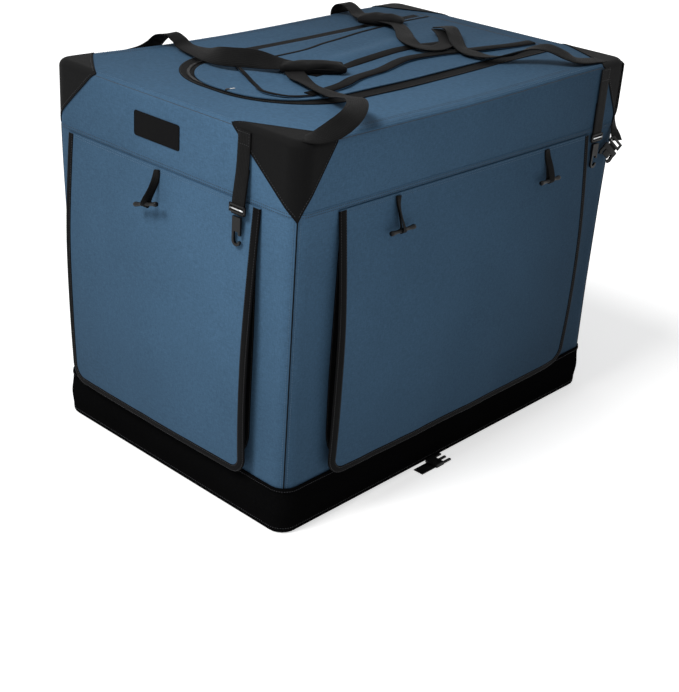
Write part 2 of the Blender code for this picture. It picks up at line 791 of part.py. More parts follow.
def ribbon(name, route, width, thickness, look):
    """Flat webbing along a route, with its width level."""
    half_w = width / 2
    half_t = thickness / 2
    guide_data = bpy.data.curves.new(name + "_section", "CURVE")
    guide_data.dimensions = "2D"
    section = guide_data.splines.new("POLY")
    section.points.add(3)
    for spot, place in zip(section.points, ((-half_w, half_t), (half_w, half_t), (half_w, -half_t), (-half_w, -half_t))):
        spot.co = (*place, 0, 1)
    section.use_cyclic_u = True
    guide = hide(add(name + "_section", guide_data, look))
    piece = tube(name, route, 0.0, look)
    piece.data.bevel_mode = "OBJECT"
    piece.data.bevel_object = guide
    piece.data.twist_mode = "Z_UP"
    return piece


def carry_handle(end_name, turn, end, reach, route_shares, grip_share):
    """A webbing handle that lies over the roof, with a padded wrap round it."""
    scale = (handle_half_span, reach, handle_rise)
    knots = [Vector([share * size for share, size in zip(row, scale)]) for row in route_shares]
    route = smooth_route(knots, handle_steps)
    piece = ribbon(end_name + "_handle", route, webbing_width, webbing_thickness, "webbing")
    middle = Vector((handle_half_span * grip_share, reach, handle_rise * grip_rise_share))
    size = (grip_length, grip_width, grip_thickness)
    grip = block(end_name + "_handle_grip", size, middle, "black_cloth", edge=grip_edge_radius)
    slot_size = (
        grip_length + cut_overrun,
        webbing_width + 2 * grip_slot_fit,
        webbing_thickness + 2 * grip_slot_fit,
    )
    slot = hide(block(end_name + "_grip_slot", slot_size, middle, "black_cloth"))
    combine(grip, slot, "DIFFERENCE")
    height = roof_height + gap + patch_cloth + gap + webbing_thickness / 2
    for solid in (piece, grip, slot):
        solid.location = (0, end * (half_length - handle_anchor_inset), height)
        solid.rotation_euler = (0, 0, turn)


def hanging_strap(name, width, thickness, drop, stand, bend_start, bend_end):
    """Webbing that hangs from its origin and steps outward by stand between two depths."""
    inner = [(0, 0), (0, -bend_start), (-stand, -bend_end), (-stand, -drop)]
    if not stand:
        inner = [inner[0], inner[-1]]
    outer = [(y - thickness, z) for y, z in reversed(inner)]
    return slab(name, inner + outer, width / 2, "webbing")


def toggle(name, side, x, stand):
    """A webbing tab with a bar across its end, sewn in at the seam and standing off the cover."""
    drop = toggle_strap_length
    tab = hanging_strap(
        name, toggle_strap_width, toggle_strap_thickness, drop, stand, toggle_strap_thickness, drop - gap
    )
    spot = (0, -stand - toggle_bar_radius, -drop)
    bar = hide(rod(name + "_bar", toggle_bar_radius, toggle_bar_length, spot, "plastic", points=10))
    combine(tab, bar, "UNION")
    sewn = (toggle_sew_drop + toggle_strap_thickness) / (cover_hinge_height - cover_bottom)
    outward = cover_clearance + cover_cloth + gap + cover_belly(cover_bulge, 0, sewn)
    for solid in (tab, bar):
        turn_to(solid, side, x, outward, cover_hinge_height - toggle_sew_drop)


def snap_hook_strap(stem, side, x, stand):
    """A webbing strap from the roof corner with a slider, and the snap hook that hangs from it."""
    drop = hook_strap_length
    strap = hanging_strap(
        stem + "_strap", hook_strap_width, hook_strap_thickness, drop, stand, hook_bend_start, hook_bend_end
    )
    slider_spot = (0, -stand - gap - slider_thickness / 2, -drop - slider_height / 2 + hook_wire / 2)
    slider_size = (slider_width, slider_thickness, slider_height)
    slider = hide(block(stem + "_slider", slider_size, slider_spot, "plastic", edge=hook_thickness / 4))
    combine(strap, slider, "UNION")
    # The hook hangs from its own outer top edge, so that it can swing out under the slider.
    inside_x = hook_width / 2 - hook_wire
    low = hook_wire - hook_length
    high = -hook_length / 2
    body = opening_outline(-hook_width / 2, hook_width / 2, -hook_length, 0, hook_width / 2 - gap)
    hook = prism(stem, body, -hook_thickness, 0, "plastic")
    eye = opening_outline(-inside_x, inside_x, low, high, inside_x - gap)
    window = prism(stem + "_eye", eye, -cut_overrun, cut_overrun, "plastic")
    for solid in (hook, window):
        solid.data.transform(Matrix.Rotation(math.pi / 2, 4, "X"))
    mouth_size = (hook_width / 2, cut_overrun, hook_mouth)
    mouth_spot = (hook_width / 2, 0, low + hook_mouth)
    mouth = block(stem + "_mouth", mouth_size, mouth_spot, "plastic")
    for cutter in (window, mouth):
        combine(hook, hide(cutter), "DIFFERENCE")
    outward = gap + patch_cloth + gap
    for solid in (strap, slider):
        turn_to(solid, side, x, outward, hook_sew_height)
    hook_height = hook_sew_height - drop - slider_height + hook_wire / 2 - gap
    for solid in (hook, window, mouth):
        turn_to(solid, side, x, outward + stand + hook_thickness, hook_height)


def buckle(name, reach):
    """Half of a side-release buckle on a strap that hangs from its origin, as a strap and its fittings."""
    strap = hanging_strap(
        name, buckle_strap_width, buckle_strap_thickness, reach, 0, 0, reach
    )
    body_length = buckle_length / 2
    middle = -gap - buckle_thickness / 2
    body_size = (buckle_width, buckle_thickness, body_length)
    body_spot = (0, middle, -reach - body_length / 2 + buckle_strap_thickness)
    fittings = [block(name + "_body", body_size, body_spot, "plastic", edge=buckle_thickness / 5)]
    prong_x = (buckle_width - buckle_prong_width) / 2
    prong_size = (buckle_prong_width, buckle_thickness / 2, body_length)
    prong_drop = -reach - body_length * 3 / 2 + 2 * buckle_strap_thickness
    for label, x in (("left", -prong_x), ("middle", 0), ("right", prong_x)):
        spot = (x, middle, prong_drop)
        edge = buckle_prong_width / 5
        fittings.append(block(f"{name}_{label}_prong", prong_size, spot, "plastic", edge=edge))
    for fitting in fittings:
        combine(strap, hide(fitting), "UNION")
    return [strap, *fittings]


def corner_buckle():
    """A buckle that hangs over the rounded right rear corner of the roof band."""
    turn = math.pi * 3 / 4
    reach = corner_radius + gap + patch_cloth + gap
    spot = Matrix.Rotation(turn, 3, "Z") @ Vector((0, -reach, 0))
    centre = Vector((half_width - corner_radius, half_length - corner_radius, hook_sew_height))
    for solid in buckle("corner_buckle", corner_strap_length):
        solid.location = centre + spot
        solid.rotation_euler = (0, 0, turn)


def ground_buckle():
    """A buckle that lies on the ground along the right side, on the end of the closing strap."""
    outward = gap + skirt_cloth + gap + buckle_width / 2
    lying = Matrix(((-1, 0, 0), (0, 0, -1), (0, -1, 0))).to_euler()
    for solid in buckle("ground_buckle", base_strap_length):
        solid.location = (half_width + outward, base_buckle_start, 0)
        solid.rotation_euler = lying


def straps_and_buckles():
    toggle("front_toggle", "front", front_toggle_x, front_toggle_stand)
    toggle("right_toggle_front", "right", side_toggle_front, side_toggle_stand)
    toggle("right_toggle_rear", "right", side_toggle_rear, side_toggle_stand)
    over_cover = cover_clearance + cover_cloth + hook_strap_stand - (gap + patch_cloth + gap)
    snap_hook_strap("front_snap_hook", "front", front_hook_x, over_cover)
    snap_hook_strap("rear_snap_hook", "right", rear_hook_y, 0)
    corner_buckle()
    ground_buckle()


folding_frame()
base_tray()
floor_pieces()
walls_and_covers()
upper_band()
roof()
patches()
name_plate()
carry_handle("front", 0.0, -1, front_handle_reach, front_route_shares, front_grip_share)
carry_handle("rear", math.pi, 1, rear_handle_reach, rear_route_shares, rear_grip_share)
straps_and_buckles()
print(sum(1 for piece in parts.objects), "pieces")
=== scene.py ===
import json
import math
import bmesh
import bpy
from mathutils import Matrix, Vector, noise


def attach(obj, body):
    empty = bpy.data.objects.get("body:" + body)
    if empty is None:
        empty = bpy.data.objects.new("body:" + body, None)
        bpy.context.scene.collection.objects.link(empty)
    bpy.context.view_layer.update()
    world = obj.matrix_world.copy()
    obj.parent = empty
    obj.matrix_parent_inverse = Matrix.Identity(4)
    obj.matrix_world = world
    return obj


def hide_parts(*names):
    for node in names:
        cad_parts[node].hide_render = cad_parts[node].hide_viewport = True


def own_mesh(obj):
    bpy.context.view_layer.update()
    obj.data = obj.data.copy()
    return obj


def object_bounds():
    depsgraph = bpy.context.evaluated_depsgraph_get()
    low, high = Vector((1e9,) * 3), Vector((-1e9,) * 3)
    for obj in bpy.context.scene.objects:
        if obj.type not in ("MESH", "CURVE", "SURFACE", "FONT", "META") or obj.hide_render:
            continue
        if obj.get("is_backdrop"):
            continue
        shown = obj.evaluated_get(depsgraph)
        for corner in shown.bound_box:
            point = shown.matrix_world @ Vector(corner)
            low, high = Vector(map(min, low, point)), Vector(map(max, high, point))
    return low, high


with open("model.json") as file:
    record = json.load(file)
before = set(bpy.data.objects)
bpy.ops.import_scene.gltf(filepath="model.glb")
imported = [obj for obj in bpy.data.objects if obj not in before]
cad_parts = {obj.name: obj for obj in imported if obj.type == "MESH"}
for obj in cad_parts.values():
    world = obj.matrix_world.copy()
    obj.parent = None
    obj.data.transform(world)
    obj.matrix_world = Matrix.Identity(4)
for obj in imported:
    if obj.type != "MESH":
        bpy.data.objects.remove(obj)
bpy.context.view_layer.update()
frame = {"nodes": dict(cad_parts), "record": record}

scene = bpy.context.scene
nodes = frame["nodes"]
scene.view_settings.view_transform = "Standard"
print("frame loaded:", len(nodes), "nodes")


def link(name, data):
    made = bpy.data.objects.new(name, data)
    scene.collection.objects.link(made)
    return made


def feed(tree, node, inputs):
    # a socket is linked, and any other value is set
    for key, value in inputs.items():
        if isinstance(value, bpy.types.NodeSocket):
            tree.links.new(value, node.inputs[key])
        else:
            node.inputs[key].default_value = value


def addNode(tree, kind, inputs=None, **settings):
    made = tree.nodes.new(kind)
    made.location = (200 * len(tree.nodes), 0)
    for name, value in settings.items():
        setattr(made, name, value)
    feed(tree, made, inputs or {})
    return made


def maths(tree, kind, *values):
    return addNode(tree, "ShaderNodeMath", dict(enumerate(values)), operation=kind).outputs[0]


def combined(tree, *values):
    return addNode(tree, "ShaderNodeCombineXYZ", dict(enumerate(values))).outputs[0]


def emptied(owner):
    owner.use_nodes = True
    owner.node_tree.nodes.clear()
    return owner.node_tree


# ---- camera, lamps and floor

shot = {
    "position": (1.6187, -1.8221, 1.2997), "azimuth": 41.54, "elevation": 25.96, "roll": 4.05, "lens": 67.82,
    "sensor": 36, "near": 0.05, "far": 60,
}
studio = {
    "keyFrom": (-0.16, -0.62, 0.77), "keyPower": 2.25, "keySpread": 24, "keyColour": (1.0, 0.995, 0.985),
    "worldLight": 0.27, "worldColour": (0.98, 0.99, 1.0), "floorColour": (0.86, 0.86, 0.86), "floorGlow": 0.60,
    "floorHalf": 14,
}


def setCamera():
    turn, lift, roll = (math.radians(shot[k]) for k in ("azimuth", "elevation", "roll"))
    back = Vector((math.sin(turn) * math.cos(lift), -math.cos(turn) * math.cos(lift), math.sin(lift)))
    level = Vector((0, 0, 1)).cross(back).normalized()
    rise = back.cross(level)
    across = level * math.cos(roll) + rise * math.sin(roll)
    upward = rise * math.cos(roll) - level * math.sin(roll)
    data = bpy.data.cameras.new("photoCamera")
    data.lens, data.sensor_width = shot["lens"], shot["sensor"]
    data.clip_start, data.clip_end = shot["near"], shot["far"]
    camera = link("photoCamera", data)
    place = Matrix((across, upward, back)).transposed().to_4x4()
    place.translation = Vector(shot["position"])
    camera.matrix_world = place
    scene.camera = camera


def seenRay(tree):
    # 1 for rays from the camera, in gloss and through glass
    path = addNode(tree, "ShaderNodeLightPath").outputs
    first = maths(tree, "MAXIMUM", path["Is Camera Ray"], path["Is Glossy Ray"])
    return maths(tree, "MAXIMUM", first, path["Is Transmission Ray"])


def setStudio():
    world = bpy.data.worlds.new("studioWorld")
    scene.world = world
    tree = emptied(world)
    colour, light = (*studio["worldColour"], 1), studio["worldLight"]
    lit = addNode(tree, "ShaderNodeBackground", {"Color": colour, "Strength": light})
    shown = addNode(tree, "ShaderNodeBackground", {"Color": (1, 1, 1, 1), "Strength": 1.0})
    mix = addNode(tree, "ShaderNodeMixShader", {0: seenRay(tree), 1: lit.outputs[0], 2: shown.outputs[0]})
    addNode(tree, "ShaderNodeOutputWorld", {0: mix.outputs[0]})

    lamp = bpy.data.lights.new("keyLamp", "SUN")
    lamp.energy, lamp.color = studio["keyPower"], studio["keyColour"]
    lamp.angle = math.radians(studio["keySpread"])
    key = link("keyLamp", lamp)
    key.rotation_mode = "QUATERNION"
    key.rotation_quaternion = Vector(studio["keyFrom"]).to_track_quat("Z", "Y")

    paint = bpy.data.materials.new("paleFloor")
    tree = emptied(paint)
    matt = addNode(tree, "ShaderNodeBsdfDiffuse", {"Color": (*studio["floorColour"], 1)})
    shine = maths(tree, "MULTIPLY", seenRay(tree), studio["floorGlow"])
    glow = addNode(tree, "ShaderNodeEmission", {"Strength": shine})
    both = addNode(tree, "ShaderNodeAddShader", {0: matt.outputs[0], 1: glow.outputs[0]})
    addNode(tree, "ShaderNodeOutputMaterial", {0: both.outputs[0]})
    sheet = bpy.data.meshes.new("paleFloor")
    wide = studio["floorHalf"]
    sheet.from_pydata([(-wide, -wide, 0), (wide, -wide, 0), (wide, wide, 0), (-wide, wide, 0)], [], [(0, 1, 2, 3)])
    sheet.materials.append(paint)
    link("paleFloor", sheet)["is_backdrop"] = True


setCamera()
setStudio()
print("camera and lamps set")

# ---- materials

blue = {
    "colour": (0.055, 0.117, 0.196), "grain": 650, "bump": 0.4, "rough": 0.85, "gloss": 0.12,
    # painted light: a pool of light painted paler near the top front right corner, and painted shade deeper away from
    # it
    "faded": {"from": (0.300, -0.457, 0.700), "range": (0.12, 0.95, 1.36, 0.50)},
}
wovenLooks = {
    "wallCloth": blue,
    "coverCloth": blue,
    "blackCloth": {"colour": (0.0040, 0.0040, 0.0042), "grain": 600, "bump": 0.6, "rough": 0.75, "gloss": 0.10},
    "skirtCloth": {"colour": (0.0036, 0.0036, 0.0038), "grain": 600, "bump": 0.6, "rough": 0.9, "gloss": 0.0},
    "bindingTape": {"colour": (0.0032, 0.0032, 0.0035), "grain": 800, "bump": 0.5, "rough": 0.80, "gloss": 0.08},
}
tapeLook = {"colour": (0.0046, 0.0045, 0.0046), "ribs": 0.0022, "cords": 0.0034, "rough": 0.72, "gloss": 0.10}
thread = {"grains": [(900, 2)], "tints": [(0, 0.8, 1.2)], "values": {"Roughness": 0.6}}
# a grain is the scale, detail and roughness of a noise; a tint and rough are the number of a grain with its low and
# high, and a bump is the number of a grain with its strength and distance
plainLooks = {
    "mouldedPlastic": {
        "colour": (0.0042, 0.0042, 0.0045), "grains": [(60, 4), (1400, 2)], "tints": [(0, 0.8, 1.3)],
        "rough": (0, 0.36, 0.50), "bumps": [(1, 0.15, 0.0003)], "values": {"Specular IOR Level": 0.20},
    },
    "coatedSteel": {
        "colour": (0.165, 0.170, 0.175), "grains": [(25, 4), (700, 3)], "tints": [(0, 0.85, 1.15)],
        "rough": (0, 0.38, 0.52), "bumps": [(1, 0.2, 0.0003)], "values": {},
    },
    "brightSteel": {
        "colour": (0.62, 0.63, 0.64), "grains": [(350, 3)], "tints": [], "rough": (0, 0.18, 0.34),
        "values": {"Metallic": 1.0},
    },
    "fleecePile": {
        "colour": (0.300, 0.290, 0.268), "grains": [(55, 4), (260, 5, 0.65)],
        "tints": [(0, 0.80, 1.15), (1, 0.72, 1.2)], "bumps": [(0, 0.6, 0.003), (1, 0.9, 0.0015)],
        "values": {"Roughness": 0.95, "Sheen Weight": 0.4},
    },
    "stiffBoard": {
        "colour": (0.022, 0.021, 0.020), "grains": [(420, 4)], "tints": [(0, 0.7, 1.4)], "bumps": [(0, 0.4, 0.0004)],
        "values": {"Roughness": 0.75},
    },
    "paleThread": {"colour": (0.090, 0.165, 0.255), **thread},
    "darkThread": {"colour": (0.012, 0.013, 0.016), **thread},
    "netThread": {"colour": (0.012, 0.012, 0.013), **thread},
}


def newMaterial(name):
    made = bpy.data.materials.new(name)
    made.use_nodes = True
    tree = made.node_tree
    return made, tree, tree.nodes["Principled BSDF"], addNode(tree, "ShaderNodeTexCoord").outputs["Object"]


def noiseOf(tree, source, scale, detail, rough=0.5):
    inputs = {"Scale": scale, "Detail": detail, "Roughness": rough, "Vector": source}
    return addNode(tree, "ShaderNodeTexNoise", inputs).outputs["Fac"]


def rangeOf(tree, source, *ends):
    inputs = dict(zip(("From Min", "From Max", "To Min", "To Max"), ends), Value=source)
    return addNode(tree, "ShaderNodeMapRange", inputs).outputs["Result"]


def spreadOf(tree, source, low, high):
    # noise runs from about 0.3 to 0.7
    return rangeOf(tree, source, 0.3, 0.7, low, high)


def tinted(tree, colour, shares):
    # a colour times a product of shares
    last = shares[0]
    for share in shares[1:]:
        last = maths(tree, "MULTIPLY", last, share)
    return addNode(tree, "ShaderNodeVectorMath", {0: colour, "Scale": last}, operation="SCALE").outputs["Vector"]


def bumped(tree, source, strength, distance, before=None):
    inputs = {"Strength": strength, "Distance": distance, "Height": source}
    if before:
        inputs["Normal"] = before
    return addNode(tree, "ShaderNodeBump", inputs).outputs["Normal"]


def wovenCloth(name):
    look = wovenLooks[name]
    made, tree, shader, where = newMaterial(name)
    # short threads along the height and short threads along the width
    threads = []
    for stretch in ((1.0, 1.0, 0.22), (0.22, 0.22, 1.0)):
        drawn = addNode(tree, "ShaderNodeVectorMath", {0: where, 1: stretch}, operation="MULTIPLY")
        threads.append(noiseOf(tree, drawn.outputs["Vector"], look["grain"], 2))
    shares = [spreadOf(tree, noiseOf(tree, where, 5.5, 4), 0.93, 1.06)]
    shares += [spreadOf(tree, threadNoise, 0.90, 1.10) for threadNoise in threads]
    # painted light and shade: the colour is scaled by the distance from one point, paler near it and darker away from
    # it
    if "faded" in look:
        away = addNode(tree, "ShaderNodeVectorMath", {0: where, 1: look["faded"]["from"]}, operation="DISTANCE")
        shares.append(rangeOf(tree, away.outputs["Value"], *look["faded"]["range"]))
    soft = bumped(tree, noiseOf(tree, where, 14, 3), 0.30, 0.004)
    fine = bumped(tree, maths(tree, "ADD", *threads), look["bump"], 0.0004, soft)
    feed(tree, shader, {
        "Base Color": tinted(tree, look["colour"], shares), "Normal": fine, "Roughness": look["rough"],
        "Specular IOR Level": look["gloss"],
    })
    return made


def webbingTape():
    # ribs across the tape and cords along it; u runs across in metres and v along
    made, tree, shader, where = newMaterial("webbingTape")
    spot = addNode(tree, "ShaderNodeUVMap", uv_map="tape").outputs["UV"]
    waves = []
    for axis, pitch in (("Y", tapeLook["ribs"]), ("X", tapeLook["cords"])):
        inputs = {"Scale": math.pi / 10 / pitch, "Distortion": 0.5, "Detail": 1.0, "Vector": spot}
        wave = addNode(tree, "ShaderNodeTexWave", inputs, wave_type="BANDS", bands_direction=axis)
        waves.append(wave.outputs["Fac"])
    both = maths(tree, "ADD", *waves)
    worn = spreadOf(tree, noiseOf(tree, where, 30, 3), 0.75, 1.35)
    feed(tree, shader, {
        "Base Color": tinted(tree, tapeLook["colour"], [worn, rangeOf(tree, both, 0.0, 2.0, 0.6, 1.5)]),
        "Normal": bumped(tree, both, 0.6, 0.0005), "Roughness": tapeLook["rough"],
        "Specular IOR Level": tapeLook["gloss"],
    })
    return made


def plainFinish(name):
    look = plainLooks[name]
    made, tree, shader, where = newMaterial(name)
    grains = [noiseOf(tree, where, *grain) for grain in look["grains"]]
    tints = [spreadOf(tree, grains[i], low, high) for i, low, high in look["tints"]]
    values = dict(look["values"])
    values["Base Color"] = tinted(tree, look["colour"], tints) if tints else (*look["colour"], 1)
    if "rough" in look:
        i, low, high = look["rough"]
        values["Roughness"] = spreadOf(tree, grains[i], low, high)
    for i, strength, distance in look.get("bumps", ()):
        values["Normal"] = bumped(tree, grains[i], strength, distance, values.get("Normal"))
    feed(tree, shader, values)
    return made


wallCloth, coverCloth, blackCloth, skirtCloth, bindingTape = (wovenCloth(name) for name in wovenLooks)
webbing = webbingTape()
plastic, powderCoat, silverSteel, fleece, board, paleThread, darkThread, netThread = (
    plainFinish(name) for name in plainLooks
)
print("materials made")

# ---- shared shapes

crate = {
    "halfWidth": 0.305, "halfLength": 0.457, "roof": 0.708, "corner": 0.030, "roofEdge": 0.012, "seam": 0.585,
    "skirtTop": 0.092, "wallBottom": 0.080,
}
runX = crate["halfWidth"] - crate["corner"]
runY = crate["halfLength"] - crate["corner"]
cornerRun = crate["corner"] * math.pi / 2
outlineRun = 4 * (runX + runY + cornerRun)
cornerSeams = [
    runX + cornerRun / 2, runX + cornerRun * 1.5 + 2 * runY, 3 * runX + cornerRun * 2.5 + 2 * runY,
    3 * runX + cornerRun * 3.5 + 4 * runY,
]
bandUpright = crate["roof"] - crate["roofEdge"] - crate["seam"]
sideTurns = {"front": 0.0, "right": math.pi / 2, "rear": math.pi, "left": -math.pi / 2}
sidePlanes = {"front": 0.457, "right": 0.305, "rear": 0.457, "left": 0.305}
lean = {"corner": (-0.016, -0.002, 0.001), "rearRise": 0.010}


def around(s):
    # the place on the crate's outline s metres round from the middle of the front, and the way out there
    s = s % outlineRun
    heading = 0.0
    spot = Vector((0.0, -crate["halfLength"]))
    radius = crate["corner"]
    for length, bends in (
        (runX, 0), (cornerRun, 1), (2 * runY, 0), (cornerRun, 1), (2 * runX, 0),
        (cornerRun, 1), (2 * runY, 0), (cornerRun, 1), (runX, 0),
    ):
        step = min(s, length)
        if bends:
            centre = spot + radius * Vector((-math.sin(heading), math.cos(heading)))
            heading += step / radius
            spot = centre + radius * Vector((math.sin(heading), -math.cos(heading)))
        else:
            spot = spot + step * Vector((math.cos(heading), math.sin(heading)))
        s -= step
        if s <= 0:
            break
    return spot, Vector((math.sin(heading), -math.cos(heading)))


def pushed(spot, way, reach, z):
    return Vector((spot.x + way.x * reach, spot.y + way.y * reach, z))


def smooth(low, high, value):
    # rises from 0 at low to 1 at high
    t = min(1.0, max(0.0, (value - low) / (high - low)))
    return t * t * (3 - 2 * t)


def mixed(a, b, share):
    return a + (b - a) * share


def wavy(x, y, z, seed=0.0):
    # smooth noise from about -1 to 1
    return noise.noise(Vector((x + seed, y - seed, z + 2 * seed))) * 1.6


def onSide(side, x, out, z):
    turn = Matrix.Rotation(sideTurns[side], 3, "Z")
    return turn @ Vector((x, -sidePlanes[side] - out, z))


def sideWays(side):
    # the way out of a side and the way along it
    origin = onSide(side, 0, 0, 0)
    return onSide(side, 0, 1, 0) - origin, onSide(side, 1, 0, 0) - origin


def tapePlaces(rows):
    # runs across and along the tape, in metres
    places = []
    along = 0.0
    for i, row in enumerate(rows):
        if i:
            along += (sum(row, Vector()) / len(row) - sum(rows[i - 1], Vector()) / len(row)).length
        across = 0.0
        for j, point in enumerate(row):
            if j:
                across += (point - row[j - 1]).length
            places.append((across, along))
    return places


def loft(name, rows, material, closedAcross=False, closedAlong=False, capped=False, tape=False):
    # a skin over rows of points; it faces the way of (next in the row) x (next row)
    count = len(rows[0])
    faces = []
    for i in range(len(rows) if closedAlong else len(rows) - 1):
        low, high = i * count, (i + 1) % len(rows) * count
        for j in range(count if closedAcross else count - 1):
            k = (j + 1) % count
            faces.append((low + j, low + k, high + k, high + j))
    if capped:
        faces.append(tuple(reversed(range(count))))
        faces.append(tuple((len(rows) - 1) * count + j for j in range(count)))
    data = bpy.data.meshes.new(name)
    data.from_pydata([tuple(p) for row in rows for p in row], [], faces)
    data.materials.append(material)
    if tape:
        places = tapePlaces(rows)
        layer = data.uv_layers.new(name="tape")
        for loop in data.loops:
            layer.data[loop.index].uv = places[loop.vertex_index]
    data.shade_smooth()
    return link(name, data)


def fromBmesh(name, bm, material):
    data = bpy.data.meshes.new(name)
    bm.to_mesh(data)
    bm.free()
    data.materials.append(material)
    data.shade_smooth()
    return link(name, data)


def fixNormals(piece, weld=False):
    bm = bmesh.new()
    bm.from_mesh(piece.data)
    if weld:
        bmesh.ops.remove_doubles(bm, verts=bm.verts, dist=1e-6)
    bmesh.ops.recalc_face_normals(bm, faces=bm.faces)
    bm.to_mesh(piece.data)
    bm.free()


def sharpen(piece, degrees):
    piece.data.set_sharp_from_angle(angle=math.radians(degrees))
    return piece


def bake(piece):
    # puts the result of the modifiers in the mesh
    bpy.context.view_layer.update()
    graph = bpy.context.evaluated_depsgraph_get()
    done = bpy.data.meshes.new_from_object(piece.evaluated_get(graph), preserve_all_data_layers=True, depsgraph=graph)
    old = piece.data
    piece.modifiers.clear()
    piece.data = done
    bpy.data.meshes.remove(old)
    done.name = piece.name
    return piece


def thicken(piece, thickness, offset=-1.0):
    step = piece.modifiers.new("thickness", "SOLIDIFY")
    step.thickness = thickness
    step.offset = offset
    step.use_even_offset = False
    return sharpen(bake(piece), 50)


def cutOpening(piece, ring, near, far):
    # cuts a closed outline out; near and far give its two ends
    rows = [[near(*p) for p in ring], [far(*p) for p in ring]]
    cutter = loft("cutter", rows, wallCloth, closedAcross=True, capped=True)
    fixNormals(cutter, weld=True)
    step = piece.modifiers.new("cut", "BOOLEAN")
    step.operation = "DIFFERENCE"
    step.solver = "EXACT"
    step.object = cutter
    bake(piece)
    bpy.data.objects.remove(cutter)
    return sharpen(piece, 50)


def joined(name, pieces):
    # several meshes as one piece, with their materials kept
    bm = bmesh.new()
    slots = []
    for piece in pieces:
        start = len(bm.faces)
        bm.from_mesh(piece.data)
        bm.faces.ensure_lookup_table()
        for face in bm.faces[start:]:
            material = piece.data.materials[face.material_index]
            if material not in slots:
                slots.append(material)
            face.material_index = slots.index(material)
    data = bpy.data.meshes.new(name)
    bm.to_mesh(data)
    bm.free()
    for material in slots:
        data.materials.append(material)
    for piece in pieces:
        bpy.data.objects.remove(piece)
    return link(name, data)


def leant(p):
    # the crate leans out at its front left top corner, and its roof rises a little to the rear
    share = smooth(0.165, 0.30, -p.x) * smooth(0.20, 0.44, -p.y) * smooth(0.10, 0.56, p.z)
    rise = lean["rearRise"] * smooth(-0.10, 0.44, p.y) * smooth(0.60, 0.70, p.z)
    return p + share * Vector(lean["corner"]) + Vector((0, 0, rise))


def settle(piece, body, stands=(), fold=None):
    for vertex in piece.data.vertices:
        vertex.co = leant(vertex.co)
    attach(piece, body)
    if stands:
        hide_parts(*stands)
    if fold:
        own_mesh(piece)


# ---- walls

wallSizes = {
    "cloth": 0.0026, "drawnIn": 0.0045, "rows": 26, "columns": 72, "ripple": 0.0014, "cornerFold": 0.0022,
    "foldReach": 0.12, "foldWave": 0.0125, "foldFade": 0.055, "flatTo": 0.270, "drawnFrom": 0.300,
    "underBand": 0.001, "hair": 0.0004, "cutter": 0.03,
}
# left, right, bottom and top
openings = {
    "front": (-0.238, 0.200, 0.1163, 0.561),
    "right": (-0.340, 0.323, 0.1163, 0.561),
    "rear": (-0.201, 0.201, 0.2775, 0.561),
    "left": (-0.306, 0.306, 0.2775, 0.561),
}
openingRadius = 0.055


def wallSkin(s, z):
    # how far the hanging wall stands out from its flat place
    share = (z - crate["skirtTop"]) / (crate["seam"] - crate["skirtTop"])
    middle = math.sin(math.pi * min(1.0, max(0.0, share)))
    spot, way = around(s)
    # the knees stand close behind the end walls, so only the sides and corners draw in
    w = wallSizes
    out = -w["drawnIn"] * middle * (smooth(w["flatTo"], w["drawnFrom"], abs(spot.x)) if abs(way.y) > 0.5 else 1.0)
    for seam in cornerSeams:
        away = abs((s - seam + outlineRun / 2) % outlineRun - outlineRun / 2)
        if away < w["foldReach"]:
            fade = math.exp(-((away / w["foldFade"]) ** 2))
            out += w["cornerFold"] * middle * math.cos(away / w["foldWave"]) * fade
    return out + w["ripple"] * middle * wavy(s * 9, 0, z * 4)


def wallPoint(s, z, out=0.0):
    spot, way = around(s)
    return pushed(spot, way, wallSkin(s, z) + out, z)


def roundedOpening(left, right, bottom, top, radius, steps=8):
    points = []
    for middle, first in ((left + radius, math.pi), (right - radius, -math.pi / 2)):
        for i in range(steps + 1):
            turn = first + math.pi / 2 * i / steps
            points.append((middle + radius * math.cos(turn), bottom + radius + radius * math.sin(turn)))
    return points + [(right, top), (left, top)]


def makeWall(side, start, end):
    count, columns = wallSizes["rows"], wallSizes["columns"]
    bottom, top = crate["wallBottom"], crate["seam"] + wallSizes["underBand"]
    rows = []
    for i in range(count + 1):
        z = bottom + (top - bottom) * i / count
        rows.append([wallPoint(start + (end - start) * j / columns, z) for j in range(columns + 1)])
    piece = loft(side + "WallCloth", rows, wallCloth)
    thicken(piece, wallSizes["cloth"])
    ring = roundedOpening(*openings[side], openingRadius)
    deep = wallSizes["cutter"]
    cutOpening(piece, ring, lambda x, z: onSide(side, x, -deep, z), lambda x, z: onSide(side, x, deep, z))
    settle(piece, "base", [side + "_wall"], "wall")


wallEnds = [cornerSeams[3] - outlineRun, *cornerSeams]
for side, start, end in zip(openings, wallEnds, wallEnds[1:]):
    makeWall(side, start + wallSizes["hair"], end - wallSizes["hair"])
print("walls hung")

# ---- band under the roof, and the roof

# the puff fades out over these places on the ends and sides, and round the plate
bandSizes = {
    "cloth": 0.0026, "puff": 0.0020, "ripple": 0.0012, "start": 0.0004, "columns": 320, "plate": (0.085, 0.060),
    "puffEnds": (0.150, 0.115), "puffSides": (0.360, 0.300),
}
plateSizes = {"x": -0.034, "z": 0.647, "width": 0.118, "height": 0.044, "thick": 0.0017, "round": 0.0045, "rim": 0.0016}
roofSizes = {"cloth": 0.0022, "radius": 0.135, "sag": 0.0016, "columns": 60, "rows": 90, "hair": 0.0004}
roofHole = (-0.166, 0.150, -0.355, 0.385)


